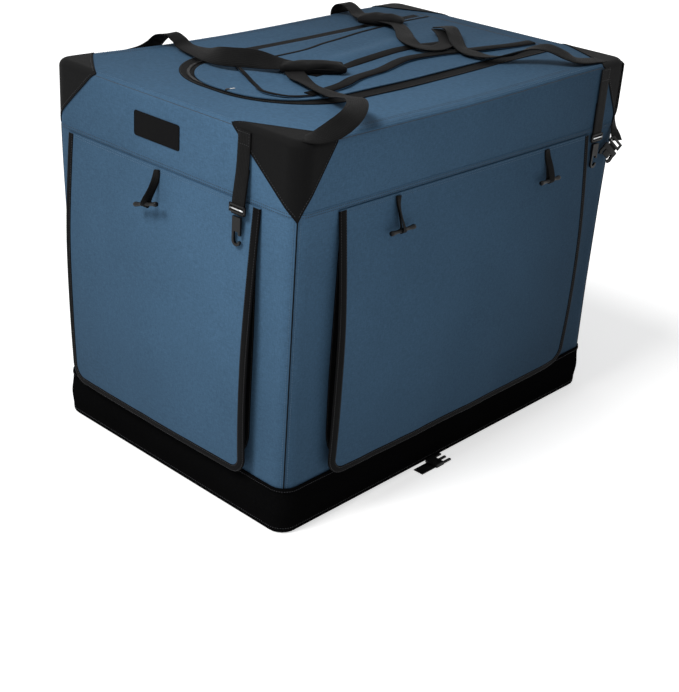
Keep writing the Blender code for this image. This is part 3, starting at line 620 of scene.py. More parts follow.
def bandSkin(s, z):
    share = min(1.0, max(0.0, (z - crate["seam"]) / bandUpright))
    spot, way = around(s)
    if abs(way.y) > 0.5:
        behindPlate = smooth(*bandSizes["plate"], abs(spot.x - plateSizes["x"])) * (spot.y < 0)
        full = smooth(*bandSizes["puffEnds"], abs(spot.x)) * (1 - 0.85 * behindPlate)
    else:
        full = smooth(*bandSizes["puffSides"], abs(spot.y))
    return (bandSizes["puff"] + bandSizes["ripple"] * wavy(s * 8, 4, z * 9)) * full * math.sin(math.pi * share)


def bandPoint(s, rise, out=0.0):
    # rise runs up the band from the seam and, past the roof's edge, in over the roof
    spot, way = around(s)
    radius = crate["roofEdge"]
    if rise <= bandUpright:
        reach = bandSkin(s, crate["seam"] + rise) + out
        z = crate["seam"] + rise
    else:
        turn = min(math.pi / 2, (rise - bandUpright) / radius)
        reach = -radius + (radius + out) * math.cos(turn)
        z = crate["roof"] - radius + (radius + out) * math.sin(turn)
        reach -= max(0.0, rise - bandUpright - radius * math.pi / 2)
    return pushed(spot, way, reach, z)


def makeBand():
    bend = crate["roofEdge"] * math.pi / 2
    rises = [bandUpright * i / 12 for i in range(13)] + [bandUpright + bend * i / 6 for i in range(1, 7)]
    rises[0] = bandSizes["start"]
    columns = bandSizes["columns"]
    rows = [[bandPoint(outlineRun * j / columns, rise) for j in range(columns)] for rise in rises]
    piece = loft("upperBandCloth", rows, wallCloth, closedAcross=True)
    thicken(piece, bandSizes["cloth"])
    settle(piece, "roof", ["upper_band"], "band")


def roofHeight(x, y):
    # the roof cloth sags a little between the tubes and has soft waves
    edge = min(crate["halfWidth"] - abs(x), crate["halfLength"] - abs(y)) - crate["roofEdge"]
    return crate["roof"] - smooth(0.0, 0.08, edge) * roofSizes["sag"] * (0.5 + 0.5 * wavy(x * 7, y * 7, 0, 2.0))


def makeRoof():
    halfX = crate["halfWidth"] - crate["roofEdge"] - roofSizes["hair"]
    halfY = crate["halfLength"] - crate["roofEdge"] - roofSizes["hair"]
    inner = crate["corner"] - crate["roofEdge"]

    def place(x, y):
        # square corners are drawn in to round ones
        away = Vector((max(0.0, abs(x) - halfX + inner), max(0.0, abs(y) - halfY + inner)))
        spot = Vector((x, y))
        if away.length > 0 and min(away) > 0:
            away *= max(away) / away.length
            spot = Vector((math.copysign(halfX - inner + away.x, x), math.copysign(halfY - inner + away.y, y)))
        return Vector((spot.x, spot.y, roofHeight(spot.x, spot.y)))

    columns, count = roofSizes["columns"], roofSizes["rows"]
    rows = [
        [place(-halfX + 2 * halfX * j / columns, -halfY + 2 * halfY * i / count) for j in range(columns + 1)]
        for i in range(count + 1)
    ]
    piece = loft("roofCloth", rows, wallCloth)
    thicken(piece, roofSizes["cloth"])
    ring = roundedOpening(*roofHole, roofSizes["radius"], 14)
    cutOpening(piece, ring, lambda x, y: Vector((x, y, 0.68)), lambda x, y: Vector((x, y, 0.73)))
    settle(piece, "roof", ["roof_panel"])


makeBand()
makeRoof()
print("band and roof made")

# ---- black corner patches

patchSizes = {"cloth": 0.0012, "steps": 30, "lift": 0.0004}
# how far each patch reaches along the end, along the side and down
patchReach = {"usual": (0.158, 0.084, 0.130), "cornerPatchFrontLeft": (0.106, 0.086, 0.116)}
# the node that each patch stands for, and the signs of its corner's x and y
patches = {
    "cornerPatchFrontLeft": ("corner_patch_front_left", -1, -1),
    "cornerPatchFrontRight": ("corner_patch_front_right", 1, -1),
    "cornerPatchRearLeft": ("corner_patch_rear_left", -1, 1),
    "cornerPatchRearRight": ("corner_patch_rear_right", 1, 1),
}


def cornerPoint(signX, signY, a, b, d, out):
    # a point on a square-cornered box, a and b in from the corner and d down, moved to the rounded crate
    radius, edge = crate["corner"], crate["roofEdge"]
    if a < radius and b < radius:
        away = Vector((radius - a, radius - b))
        way = away.normalized() if away.length > 1e-9 else Vector((1, 0))
        inset = radius - max(away)
        rim = Vector((radius, radius)) - way * radius
    elif b <= a:
        way, inset, rim = Vector((0, 1)), b, Vector((a, 0))
    else:
        way, inset, rim = Vector((1, 0)), a, Vector((0, b))
    if d >= edge:
        reach, z = out, -d
    elif d <= 1e-9 and inset >= edge:
        reach, z = -inset, out
    else:
        turn = math.pi / 4 * ((1 + d / edge) if d > 1e-9 else (1 - inset / edge))
        reach = -edge + (edge + out) * math.sin(turn)
        z = -edge + (edge + out) * math.cos(turn)
    spot = rim - way * reach
    return Vector((signX * (crate["halfWidth"] - spot.x), signY * (crate["halfLength"] - spot.y), crate["roof"] + z))


def patchCorners(name):
    onEnds, onSides, drop = patchReach.get(name, patchReach["usual"])
    return Vector((onEnds, 0, 0)), Vector((0, onSides, 0)), Vector((0, 0, drop))


def makePatch(name):
    node, signX, signY = patches[name]
    steps = patchSizes["steps"]
    onEnd, onLong, down = patchCorners(name)
    bm = bmesh.new()
    for one, two in ((onEnd, down), (onLong, down), (onEnd, onLong)):
        grid = {}
        for i in range(steps + 1):
            for j in range(steps + 1 - i):
                flat = one * (i / steps) + two * (j / steps)
                grid[i, j] = bm.verts.new(cornerPoint(signX, signY, *flat, patchSizes["lift"]))
        for i in range(steps):
            for j in range(steps - i):
                bm.faces.new((grid[i, j], grid[i + 1, j], grid[i, j + 1]))
                if i + j < steps - 1:
                    bm.faces.new((grid[i + 1, j], grid[i + 1, j + 1], grid[i, j + 1]))
    bmesh.ops.remove_doubles(bm, verts=bm.verts, dist=1e-5)
    bmesh.ops.recalc_face_normals(bm, faces=bm.faces)
    middle = cornerPoint(signX, signY, 0.02, 0.02, 0, 0)
    top = min(bm.faces, key=lambda f: (f.calc_center_median() - middle).length)
    if top.normal.z < 0:
        bmesh.ops.reverse_faces(bm, faces=bm.faces)
    piece = fromBmesh(name, bm, blackCloth)
    thicken(piece, patchSizes["cloth"], offset=1.0)
    settle(piece, "roof", [node], "patch")


for name in patches:
    makePatch(name)
print("corner patches sewn")

# ---- bottom tray with its standing skirt

traySizes = {
    "cloth": 0.0022, "edge": 0.007, "clear": 0.0006, "full": 0.0035, "ripple": 0.0011, "lift": 0.0004,
    "buckle": -0.067, "held": (0.045, 0.075), "columns": 360,
}


def skirtPoint(s, z, out=0.0):
    spot, way = around(s)
    edge = traySizes["edge"]
    reach = traySizes["clear"] + traySizes["cloth"] + out
    # the skirt lies flat behind the ground buckle
    held = smooth(*traySizes["held"], abs(spot.y - traySizes["buckle"])) if way.x > 0.5 else 1.0
    reach += traySizes["full"] * held * math.sin(math.pi * smooth(0.0, crate["skirtTop"], z)) ** 1.5
    reach += traySizes["ripple"] * wavy(s * 13, 9, z * 8) * smooth(0.0, 0.03, z)
    if z < edge:
        reach -= edge * (1 - math.sin(math.acos(1 - z / edge)))
    return pushed(spot, way, reach, z)


def makeTray():
    edge, columns = traySizes["edge"], traySizes["columns"]
    heights = [edge * (1 - math.cos(math.pi / 2 * i / 5)) for i in range(6)]
    heights += [edge + (crate["skirtTop"] - edge) * i / 12 for i in range(1, 13)]
    rows = [[skirtPoint(outlineRun * j / columns, z) for j in range(columns)] for z in heights]
    for row in rows:
        for p in row:
            p.z += traySizes["lift"]
    piece = loft("baseTrayCloth", rows, skirtCloth, closedAcross=True)
    bm = bmesh.new()
    bm.from_mesh(piece.data)
    bm.verts.ensure_lookup_table()
    bm.faces.new([bm.verts[j] for j in reversed(range(columns))])
    bm.to_mesh(piece.data)
    bm.free()
    piece.data.shade_smooth()
    thicken(piece, traySizes["cloth"])
    settle(piece, "base", ["base_tray"])


makeTray()
print("tray made")

# ---- cloth covers

coverSizes = {
    "cloth": 0.0022, "clear": 0.0018, "radius": 0.035, "top": 0.5838, "rows": 44, "columns": 48, "binding": 0.0044,
    "over": 0.0010, "bindingTop": 0.0015, "seams": (0.14, 0.84), "seamOut": 0.0024, "slack": 1.005,
}
# tapes gives the widths of the binding at the left, below and at the right
large = {"bottom": 0.0925, "bulge": 0.024}
small = {"bottom": 0.2535, "bulge": 0.010, "ripple": 0.0015, "tapes": (0.012, 0.012, 0.012)}
covers = {
    "front": {"left": -0.262, "right": 0.224, **large, "ripple": 0.0022, "seed": 1.0, "tapes": (0.011, 0.012, 0.016)},
    "right": {"left": -0.364, "right": 0.347, **large, "ripple": 0.0026, "seed": 5.0, "tapes": (0.016, 0.012, 0.011)},
    "rear": {"left": -0.225, "right": 0.225, **small, "seed": 9.0},
    "left": {"left": -0.330, "right": 0.330, **small, "seed": 14.0},
}


def coverFlat(c, across, row, rows, bend=8):
    # across is -1 to 1; the lowest rows follow the round corners
    radius = coverSizes["radius"]
    drop = coverSizes["top"] - c["bottom"]
    if row <= bend:
        turn = math.pi / 2 * row / bend
        depth = drop - radius * (1 - math.cos(turn))
        inset = radius * (1 - math.sin(turn))
    else:
        depth = (drop - radius) * (rows - row) / (rows - bend)
        inset = 0
    middle, half = (c["left"] + c["right"]) / 2, (c["right"] - c["left"]) / 2
    return middle + across * (half - inset), coverSizes["top"] - depth


def coverRise(c, x, z):
    middle, half = (c["left"] + c["right"]) / 2, (c["right"] - c["left"]) / 2
    across = (x - middle) / half
    down = (coverSizes["top"] - z) / (coverSizes["top"] - c["bottom"])
    rise = c["bulge"] * (1 - 0.25 * across**2) * math.sin(math.pi * 0.75 * min(1.0, down))
    wave = wavy(x * 11, 0, z * 3, c["seed"]) + 0.5 * wavy(x * 25, 3, z * 6, c["seed"])
    edge = 0.4 + 0.6 * smooth(0.6, 1.0, abs(across))
    return rise + c["ripple"] * wave * edge * math.sin(math.pi * 0.62 * min(1.0, down)) + coverSizes["clear"]


def coverPoint(side, x, z, out=0.0):
    return onSide(side, x, coverRise(covers[side], x, z) + out, z)


def coverFacing(side, x, z):
    c, step = covers[side], 0.004
    slopeX = (coverRise(c, x + step, z) - coverRise(c, x - step, z)) / (2 * step)
    slopeZ = (coverRise(c, x, z + step) - coverRise(c, x, z - step)) / (2 * step)
    return (Matrix.Rotation(sideTurns[side], 3, "Z") @ Vector((-slopeX, -1, -slopeZ))).normalized()


def makeCover(side):
    c, count, columns = covers[side], coverSizes["rows"], coverSizes["columns"]
    rows = [
        [coverPoint(side, *coverFlat(c, -1 + 2 * j / columns, i, count)) for j in range(columns + 1)]
        for i in range(count + 1)
    ]
    piece = loft(side + "CoverCloth", rows, coverCloth)
    thicken(piece, coverSizes["cloth"], offset=0.0)
    settle(piece, side + "_cover", [side + "_cover"], "cover")


for side in covers:
    makeCover(side)
print("covers hung")

# ---- handles

handleSizes = {"width": 0.036, "thick": 0.0022}
# each tape of a handle is a list of places with the way that its face looks
handles = {
    "front": [
        [
            (-0.3075, -0.417, 0.685, -1, 0, 0), (-0.308, -0.385, 0.683, -1, 0, 0), (-0.3092, -0.33, 0.684, -1, 0, 0),
            (-0.3092, -0.275, 0.69, -1, 0, 0.1), (-0.3085, -0.245, 0.702, -1, 0.1, 0.3),
            (-0.299, -0.23, 0.721, -0.8, 0.1, 0.6), (-0.28, -0.222, 0.732, -0.1, 0, 1),
            (-0.261, -0.217, 0.725, 0.5, 0, 0.85), (-0.24, -0.218, 0.716, 0.2, -0.1, 1),
            (-0.18, -0.235, 0.72, 0, -0.3, 0.9), (-0.12, -0.256, 0.73, 0.1, -0.7, 0.7),
            (-0.08, -0.252, 0.734, 0.2, -0.8, 0.55), (-0.045, -0.228, 0.735, 0.3, -0.75, 0.6),
            (-0.005, -0.192, 0.729, 0.1, -0.3, 0.95), (0.033, -0.144, 0.7245, 0, 0, 1),
            (0.054, -0.112, 0.7235, 0, 0, 1),
        ],
        [
            (0.01, -0.182, 0.721, 0, 0, 1), (0.045, -0.206, 0.72, 0.1, -0.1, 1), (0.09, -0.224, 0.719, 0.1, 0.2, 1),
            (0.138, -0.236, 0.7195, 0, 0.1, 1), (0.18, -0.246, 0.722, 0, 0, 1), (0.218, -0.266, 0.732, -0.3, 0.2, 1),
            (0.26, -0.292, 0.743, -0.1, 0.1, 1), (0.295, -0.326, 0.746, 0.2, 0, 1),
            (0.316, -0.362, 0.74, 0.5, -0.1, 0.9), (0.316, -0.392, 0.727, 0.6, -0.3, 0.8),
            (0.302, -0.414, 0.715, 0.3, -0.3, 0.9), (0.283, -0.43, 0.7083, 0, 0, 1),
        ],
    ],
    "rear": [
        [
            (-0.3075, 0.417, 0.681, -1, 0, 0), (-0.308, 0.385, 0.683, -1, 0, 0), (-0.3092, 0.335, 0.687, -1, 0, 0),
            (-0.3092, 0.295, 0.694, -1, 0, 0.1), (-0.308, 0.268, 0.708, -1, 0, 0.3),
            (-0.298, 0.262, 0.724, -0.8, 0, 0.6),
            (-0.281, 0.264, 0.731, -0.1, 0, 1), (-0.262, 0.266, 0.725, 0.5, 0, 0.9), (-0.238, 0.258, 0.718, 0.2, 0, 1),
            (-0.208, 0.24, 0.72, 0, 0, 1), (-0.17, 0.232, 0.7235, 0, 0, 1), (-0.14, 0.248, 0.7235, 0, 0, 1),
        ],
        [
            (-0.15, 0.24, 0.7235, 0, 0, 1), (-0.105, 0.232, 0.7235, 0.1, 0.1, 1), (-0.06, 0.198, 0.724, 0.1, 0.1, 1),
            (-0.015, 0.155, 0.726, 0, 0, 1), (0.028, 0.138, 0.7225, 0.1, 0.1, 1), (0.055, 0.16, 0.7205, 0, 0, 1),
            (0.045, 0.208, 0.7215, 0, -0.1, 1), (0.01, 0.245, 0.725, 0.2, -0.2, 1), (-0.025, 0.27, 0.725, 0.1, 0, 1),
        ],
        [
            (-0.03, 0.276, 0.7285, 0, 0, 1), (0.0, 0.266, 0.734, 0.1, 0, 1), (0.028, 0.248, 0.731, 0.4, 0.1, 1),
            (0.07, 0.215, 0.72, 0.2, 0.2, 1), (0.115, 0.196, 0.718, 0, 0, 1), (0.155, 0.204, 0.718, -0.1, 0.1, 1),
            (0.185, 0.236, 0.724, -0.4, 0.2, 1), (0.207, 0.262, 0.736, -0.1, 0.1, 1), (0.232, 0.284, 0.738, 0.3, 0, 1),
            (0.257, 0.304, 0.727, 0.4, 0, 1), (0.272, 0.332, 0.716, 0.1, -0.1, 1), (0.278, 0.372, 0.711, 0, 0, 1),
            (0.278, 0.4, 0.7083, 0, 0, 1),
        ],
    ],
}


def smoothRoute(knots, steps):
    ends = [2 * knots[0] - knots[1], *knots, 2 * knots[-1] - knots[-2]]
    route = []
    for i in range(1, len(ends) - 2):
        a, b, c, d = ends[i - 1 : i + 3]
        for j in range(steps):
            t = j / steps
            route.append(
                0.5 * (2 * b + (c - a) * t + (2 * a - 5 * b + 4 * c - d) * t**2 + (3 * b - a - 3 * c + d) * t**3)
            )
    return [*route, knots[-1]]


def tapeAlong(name, route, ways, width, thick, material=None):
    # flat webbing along a route; ways are the directions its face looks in
    shares = (-1, -0.96, -0.5, 0, 0.5, 0.96, 1)
    rows = []
    for i, spot in enumerate(route):
        ahead = route[min(i + 1, len(route) - 1)] - route[max(i - 1, 0)]
        side = ahead.cross(ways[i]).normalized()
        face = side.cross(ahead).normalized()
        rows.append([
            spot + side * (share * width / 2) + face * (sign * thick / 2 * (0.35 if abs(share) == 1 else 1))
            for sign, line in ((1, shares), (-1, reversed(shares))) for share in line
        ])
    piece = loft(name, rows, material or webbing, closedAcross=True, capped=True, tape=True)
    fixNormals(piece)
    return sharpen(piece, 60)


def knottedTape(name, knots, steps, size):
    # a tape through places that are each followed by the way its face looks
    route = smoothRoute([Vector(k[:3]) for k in knots], steps)
    ways = [way.normalized() for way in smoothRoute([Vector(k[3:]) for k in knots], steps)]
    return tapeAlong(name, route, ways, size["width"], size["thick"])


for endName, tapes in handles.items():
    piece = joined(endName + "Handle", [knottedTape("tape", knots, 8, handleSizes) for knots in tapes])
    settle(piece, endName + "_handle", [endName + "_handle"], endName + "Handle")
print("handles laid")

# ---- rows of stitches and zip teeth, by geometry nodes

stitch = {"Spacing": 0.0046, "Length": 0.0032, "Width": 0.0010, "Height": 0.0006, "Zigzag": 0.0, "Square": False}
rowKinds = {
    "paleStitch": {**stitch, "Material": paleThread},
    "darkStitch": {**stitch, "Width": 0.0011, "Height": 0.0007, "Material": darkThread},
    "zipTooth": {
        "Spacing": 0.0026, "Length": 0.0017, "Width": 0.0050, "Height": 0.0022, "Zigzag": 0.0013, "Square": True,
        "Material": plastic,
    },
}
rowLines = {}


def sew(kind, body, slotName, fold, spots, ways):
    rowLines.setdefault((kind, body, slotName, fold), []).append((spots, ways))


def openGroup(name, sizes, flags=()):
    tree = bpy.data.node_groups.new(name, "GeometryNodeTree")
    sockets = [("Geometry", "INPUT", "Geometry"), *((size, "INPUT", "Float") for size in sizes)]
    sockets += [*((flag, "INPUT", "Bool") for flag in flags), ("Material", "INPUT", "Material")]
    for label, way, kind in [*sockets, ("Geometry", "OUTPUT", "Geometry")]:
        tree.interface.new_socket(label, in_out=way, socket_type="NodeSocket" + kind)
    return tree, addNode(tree, "NodeGroupInput").outputs


def closeGroup(tree, start, instances):
    real = addNode(tree, "GeometryNodeRealizeInstances", {"Geometry": instances})
    inputs = {"Geometry": real.outputs["Geometry"], "Material": start["Material"]}
    painted = addNode(tree, "GeometryNodeSetMaterial", inputs)
    addNode(tree, "NodeGroupOutput", {"Geometry": painted.outputs["Geometry"]})
    return tree


def rowTree():
    tree, start = openGroup("rowOfPieces", ("Spacing", "Length", "Width", "Height", "Zigzag"), ("Square",))
    curve = addNode(tree, "GeometryNodeMeshToCurve", {"Mesh": start["Geometry"]}).outputs["Curve"]
    inputs = {"Curve": curve, "Length": start["Spacing"]}
    spaced = addNode(tree, "GeometryNodeResampleCurve", inputs, mode="LENGTH").outputs["Curve"]
    tangent = addNode(tree, "GeometryNodeInputTangent").outputs[0]
    facing = addNode(tree, "GeometryNodeInputNamedAttribute", {"Name": "facing"}, data_type="FLOAT_VECTOR")
    inputs = {"Primary Axis": tangent, "Secondary Axis": facing.outputs["Attribute"]}
    turned = addNode(tree, "FunctionNodeAxesToRotation", inputs, primary_axis="Y", secondary_axis="Z")
    ball = addNode(tree, "GeometryNodeMeshIcoSphere", {"Radius": 0.5, "Subdivisions": 1}).outputs["Mesh"]
    block = addNode(tree, "GeometryNodeMeshCube").outputs["Mesh"]
    inputs = {"Switch": start["Square"], "False": ball, "True": block}
    which = addNode(tree, "GeometryNodeSwitch", inputs, input_type="GEOMETRY").outputs["Output"]
    inputs = {"Points": spaced, "Instance": which, "Rotation": turned.outputs["Rotation"]}
    placed = addNode(tree, "GeometryNodeInstanceOnPoints", inputs).outputs["Instances"]
    # the pieces step aside in turn, one to each side
    number = addNode(tree, "GeometryNodeInputIndex").outputs[0]
    sign = maths(tree, "SUBTRACT", maths(tree, "MODULO", number, 2), 0.5)
    sideways = combined(tree, maths(tree, "MULTIPLY", sign, start["Zigzag"]))
    inputs = {"Instances": placed, "Translation": sideways}
    moved = addNode(tree, "GeometryNodeTranslateInstances", inputs).outputs["Instances"]
    inputs = {"Instances": moved, "Scale": combined(tree, start["Width"], start["Length"], start["Height"])}
    return closeGroup(tree, start, addNode(tree, "GeometryNodeScaleInstances", inputs).outputs["Instances"])


def runTree(piece, tree, values):
    step = piece.modifiers.new("repeats", "NODES")
    step.node_group = tree
    keys = {item.name: item.identifier for item in tree.interface.items_tree if item.in_out == "INPUT"}
    for name, value in values.items():
        step[keys[name]] = value
    return bake(piece)


def makeRows():
    tree = rowTree()
    for (kind, body, slotName, fold), lines in rowLines.items():
        spots, edges, ways = [], [], []
        for lineSpots, lineWays in lines:
            first = len(spots)
            spots += lineSpots
            ways += lineWays
            edges += [(first + i, first + i + 1) for i in range(len(lineSpots) - 1)]
        name = kind + "".join(part.title() for part in body.split("_")) + (fold or "").title()
        data = bpy.data.meshes.new(name)
        data.from_pydata([tuple(p) for p in spots], edges, [])
        layer = data.attributes.new("facing", "FLOAT_VECTOR", "POINT")
        layer.data.foreach_set("vector", [c for way in ways for c in way])
        piece = link(name, data)
        runTree(piece, tree, rowKinds[kind])
        if not rowKinds[kind]["Square"]:
            piece.data.shade_smooth()
        settle(piece, body, (), fold)
    print("rows sewn:", len(rowLines))


# ---- bindings, tapes and piping

wrapSection = (
    (1, 0.25), (0.9, 0.5), (0.5, 0.52), (0.12, 0.5), (0, 0.22),
    (0, -0.22), (0.12, -0.5), (0.5, -0.5), (0.9, -0.5), (1, -0.25),
)


def wrapEdge(name, outer, inner, facings, thick):
    # tape folded over an edge: a rounded flat section from the outer line to the inner one
    lines = []
    for a, b, way in zip(outer, inner, facings):
        lines.append([a.lerp(b, share) + way * (lift * thick) for share, lift in wrapSection])
    piece = loft(name, lines, bindingTape, closedAcross=True, capped=True)
    fixNormals(piece)
    return sharpen(piece, 65)


def tubeAlong(name, route, radius, material, count=8, closed=False):
    lines = []
    last = None
    for i, spot in enumerate(route):
        after = route[(i + 1) % len(route)] if closed else route[min(i + 1, len(route) - 1)]
        before = route[i - 1] if closed or i else route[0]
        ahead = (after - before).normalized()
        if last is None:
            last = ahead.orthogonal().normalized()
        side = (last - ahead * last.dot(ahead)).normalized()
        last = side
        up = ahead.cross(side)
        r = radius[i] if isinstance(radius, list) else radius
        turns = [2 * math.pi * j / count for j in range(count)]
        lines.append([spot + side * (r * math.cos(t)) + up * (r * math.sin(t)) for t in turns])
    piece = loft(name, lines, material, closedAcross=True, closedAlong=closed, capped=not closed)
    fixNormals(piece)
    return piece


def hangingEdge(left, right, bottom, top, radius, steps=26, bend=8):
    # down the left edge, round the lower corners and up the right one: each place with the way inwards
    turns = [(math.cos(math.pi / 2 * i / bend), math.sin(math.pi / 2 * i / bend)) for i in range(bend + 1)]
    path = [(left, top + (bottom + radius - top) * i / steps, 1.0, 0.0) for i in range(steps)]
    path += [(left + radius * (1 - c), bottom + radius * (1 - s), c, s) for c, s in turns]
    path += [(left + radius + (right - left - 2 * radius) * i / steps, bottom, 0.0, 1.0) for i in range(1, steps)]
    path += [(right - radius * (1 - s), bottom + radius * (1 - c), -s, c) for c, s in turns]
    path += [(right, bottom + radius + (top - bottom - radius) * i / steps, -1.0, 0.0) for i in range(1, steps + 1)]
    return path


# the cover's head is sewn with two rows
headRows = {"heights": (0.5815, 0.5775), "inset": 0.014, "count": 60, "out": 0.0013}


def bindCover(side):
    c, over, body = covers[side], coverSizes["over"], side + "_cover"
    top = coverSizes["top"] - coverSizes["bindingTop"]
    path = hangingEdge(c["left"], c["right"], c["bottom"], top, coverSizes["radius"])
    left, lower, right = c["tapes"]
    widths = [mixed(left if inX >= 0 else right, lower, abs(inZ)) for x, z, inX, inZ in path]
    outer = [coverPoint(side, x - inX * over, z - inZ * over) for x, z, inX, inZ in path]
    inner = [coverPoint(side, x + inX * w, z + inZ * w) for (x, z, inX, inZ), w in zip(path, widths)]
    facings = [coverFacing(side, x + inX * w / 2, z + inZ * w / 2) for (x, z, inX, inZ), w in zip(path, widths)]
    binding = wrapEdge(side + "CoverBinding", outer, inner, facings, coverSizes["binding"])
    settle(binding, body, (), "cover")
    for share in coverSizes["seams"]:
        line = [a.lerp(b, share) + way * coverSizes["seamOut"] for a, b, way in zip(outer, inner, facings)]
        sew("darkStitch", body, "cover_cloth", "cover", line, facings)
    count, inset = headRows["count"], headRows["inset"]
    xs = [mixed(c["left"] + inset, c["right"] - inset, i / count) for i in range(count + 1)]
    for z in headRows["heights"]:
        line = [coverPoint(side, x, z, headRows["out"]) for x in xs]
        sew("paleStitch", body, "cover_cloth", "cover", line, [coverFacing(side, x, z) for x in xs])


for side in covers:
    bindCover(side)
print("covers bound")

# zipped tape round the wall openings

tapeSizes = {"wide": 0.020, "thick": 0.0016, "lap": 0.003, "teeth": 0.0065, "inRow": 0.002, "outRow": 0.0015}
sideRuns = {side: i * (runX + cornerRun + runY) for i, side in enumerate(openings)}


def tapeOpening(side):
    path = hangingEdge(*openings[side], openingRadius, steps=40)
    lap, wide = tapeSizes["lap"], tapeSizes["wide"]
    facings = [sideWays(side)[0]] * len(path)

    def line(inwards, out):
        return [wallPoint(sideRuns[side] + x + inX * inwards, z + inZ * inwards, out) for x, z, inX, inZ in path]

    tape = wrapEdge(side + "OpeningTape", line(lap - wide, 0.0), line(lap, 0.0), facings, tapeSizes["thick"])
    settle(tape, "base", (), "wall")
    for inwards in (lap - wide + tapeSizes["inRow"], lap - tapeSizes["outRow"]):
        sew("darkStitch", "base", "wall_cloth", "wall", line(inwards, 0.0010), facings)
    if side in ("front", "right"):
        sew("zipTooth", "base", "wall_cloth", "wall", line(lap - tapeSizes["teeth"], 0.0013), facings)


for side in openings:
    tapeOpening(side)
print("openings taped")

# corner seams, hems and the ridges where the band meets walls and roof

seamSizes = {"piping": 0.0011, "bottom": 0.083, "top": 0.5845, "rowBottom": 0.094, "rowTop": 0.5835, "away": 0.0055}
# the hems are lists of heights and ways out
bandHem = [(0.0004, -0.0010), (0.0003, 0.0006), (0.0030, 0.0009), (0.0070, 0.0009), (0.0097, 0.0006), (0.0098, -0.0010)]
skirtHem = [
    (0.0835, 0.0002), (0.0840, 0.0009), (0.0880, 0.0011), (0.0915, 0.0009), (0.0929, 0.0002), (0.0929, -0.0016),
    (0.0915, -0.0024), (0.0835, -0.0022),
]
# angles on the roof's round edge
roofSeam = {
    "turn": math.pi / 4, "half": 0.14, "high": 0.0008, "sunk": 0.0003, "foot": 0.0012, "crease": -0.26, "row": 0.42,
}


def ringLoft(name, section, place, material, columns=360):
    # a closed band of tape round the crate; the section is a list of values for place
    lines = [[place(outlineRun * j / columns, *values) for j in range(columns)] for values in section]
    piece = loft(name, lines, material, closedAcross=True, closedAlong=True)
    fixNormals(piece)
    return sharpen(piece, 60)


def ringLine(place, columns=700):
    return [place(outlineRun * j / columns) for j in range(columns + 1)]


def wayOut(s, turn=0.0):
    x, y = around(s)[1]
    return Vector((x * math.cos(turn), y * math.cos(turn), math.sin(turn)))


def onRoofEdge(turn):
    # the rise on the band at an angle of the roof's edge from the seam's
    return bandUpright + crate["roofEdge"] * (roofSeam["turn"] + turn)


for i, run in enumerate(cornerSeams):
    low, high = seamSizes["bottom"], seamSizes["top"]
    route = [wallPoint(run, low + (high - low) * j / 40, 0.0004) for j in range(41)]
    settle(tubeAlong(f"cornerPiping{i + 1}", route, seamSizes["piping"], bindingTape), "base", (), "wall")
    low, high = seamSizes["rowBottom"], seamSizes["rowTop"]
    for away in (-seamSizes["away"], seamSizes["away"]):
        line = [wallPoint(run + away, low + (high - low) * j / 60, 0.0003) for j in range(61)]
        sew("paleStitch", "base", "wall_cloth", "wall", line, [wayOut(run + away)] * 61)

settle(ringLoft("bandHem", bandHem, bandPoint, wallCloth), "roof", (), "band")
for rise in (0.0026, 0.0070):
    sew("darkStitch", "roof", "wall_cloth", "band", ringLine(lambda s: bandPoint(s, rise, 0.0012)), ringLine(wayOut))

ridge = []
for share in (-1 + i / 3 for i in range(7)):
    ridge.append((onRoofEdge(roofSeam["half"] * share), roofSeam["high"] * (1 - share**2) - roofSeam["sunk"]))
ridge += [(onRoofEdge(side * roofSeam["half"]), -roofSeam["foot"]) for side in (1, -1)]
settle(ringLoft("roofSeamRidge", ridge, bandPoint, wallCloth), "roof", (), "band")
# painted shade: a thin dark tube in the crease under the ridge stands in for the shade there
crease = ringLine(lambda s: bandPoint(s, onRoofEdge(roofSeam["crease"]), -0.0002), 360)[:-1]
settle(tubeAlong("roofSeamShadeLine", crease, 0.00050, darkThread, 6, True), "roof", (), "band")
line = ringLine(lambda s: bandPoint(s, onRoofEdge(roofSeam["row"]), 0.0003))
sew("paleStitch", "roof", "wall_cloth", "band", line, ringLine(lambda s: wayOut(s, roofSeam["turn"] + roofSeam["row"])))

settle(ringLoft("skirtHem", skirtHem, skirtPoint, skirtCloth), "base")
for z, out in ((0.0875, 0.0013), (0.0120, 0.0003)):
    sew("darkStitch", "base", "black_cloth", None, ringLine(lambda s: skirtPoint(s, z, out)), ringLine(wayOut))
print("seams and hems made")

# corner patches: piping and stitches


def trimPatch(name):
    node, signX, signY = patches[name]
    onEnd, onLong, down = patchCorners(name)
    high = patchSizes["lift"] + patchSizes["cloth"]

    def line(a, b, out, count=40):
        # a straight line on the flat patch, laid on the crate
        return [cornerPoint(signX, signY, *a.lerp(b, i / count), out) for i in range(count + 1)]

    edges = ((onEnd, down), (down, onLong), (onLong, onEnd))
    route = [spot for a, b in edges for spot in line(a, b, high - 0.0005)[:-1]]
    settle(tubeAlong(name + "Piping", route, 0.0010, bindingTape, 6, True), "roof", (), "patch")
    for a, b in edges:
        start, end = a.lerp(b, 0.05) - a * 0.045, a.lerp(b, 0.95) - b * 0.045
        spots = line(start, end, high + 0.0003)
        facings = [(above - spot).normalized() for spot, above in zip(spots, line(start, end, high + 0.003))]
        sew("darkStitch", "roof", "black_cloth", "patch", spots, facings)


for name in patches:
    trimPatch(name)
print("patches trimmed")

# ---- roof opening: zipped tape, the cloth cover and its second layer

roofTape = {"outSides": 0.026, "outFront": 0.006, "inside": 0.015, "thick": 0.0016, "teeth": 0.005, "row": 0.002}
roofRows = {"xs": (-0.286, -0.2805, 0.2805, 0.286), "front": -0.37, "length": 0.78, "count": 120}
rearSeam = {"y": 0.408, "left": -0.20, "width": 0.37, "count": 40, "radius": 0.0009}
upwards = Vector((0, 0, 1))


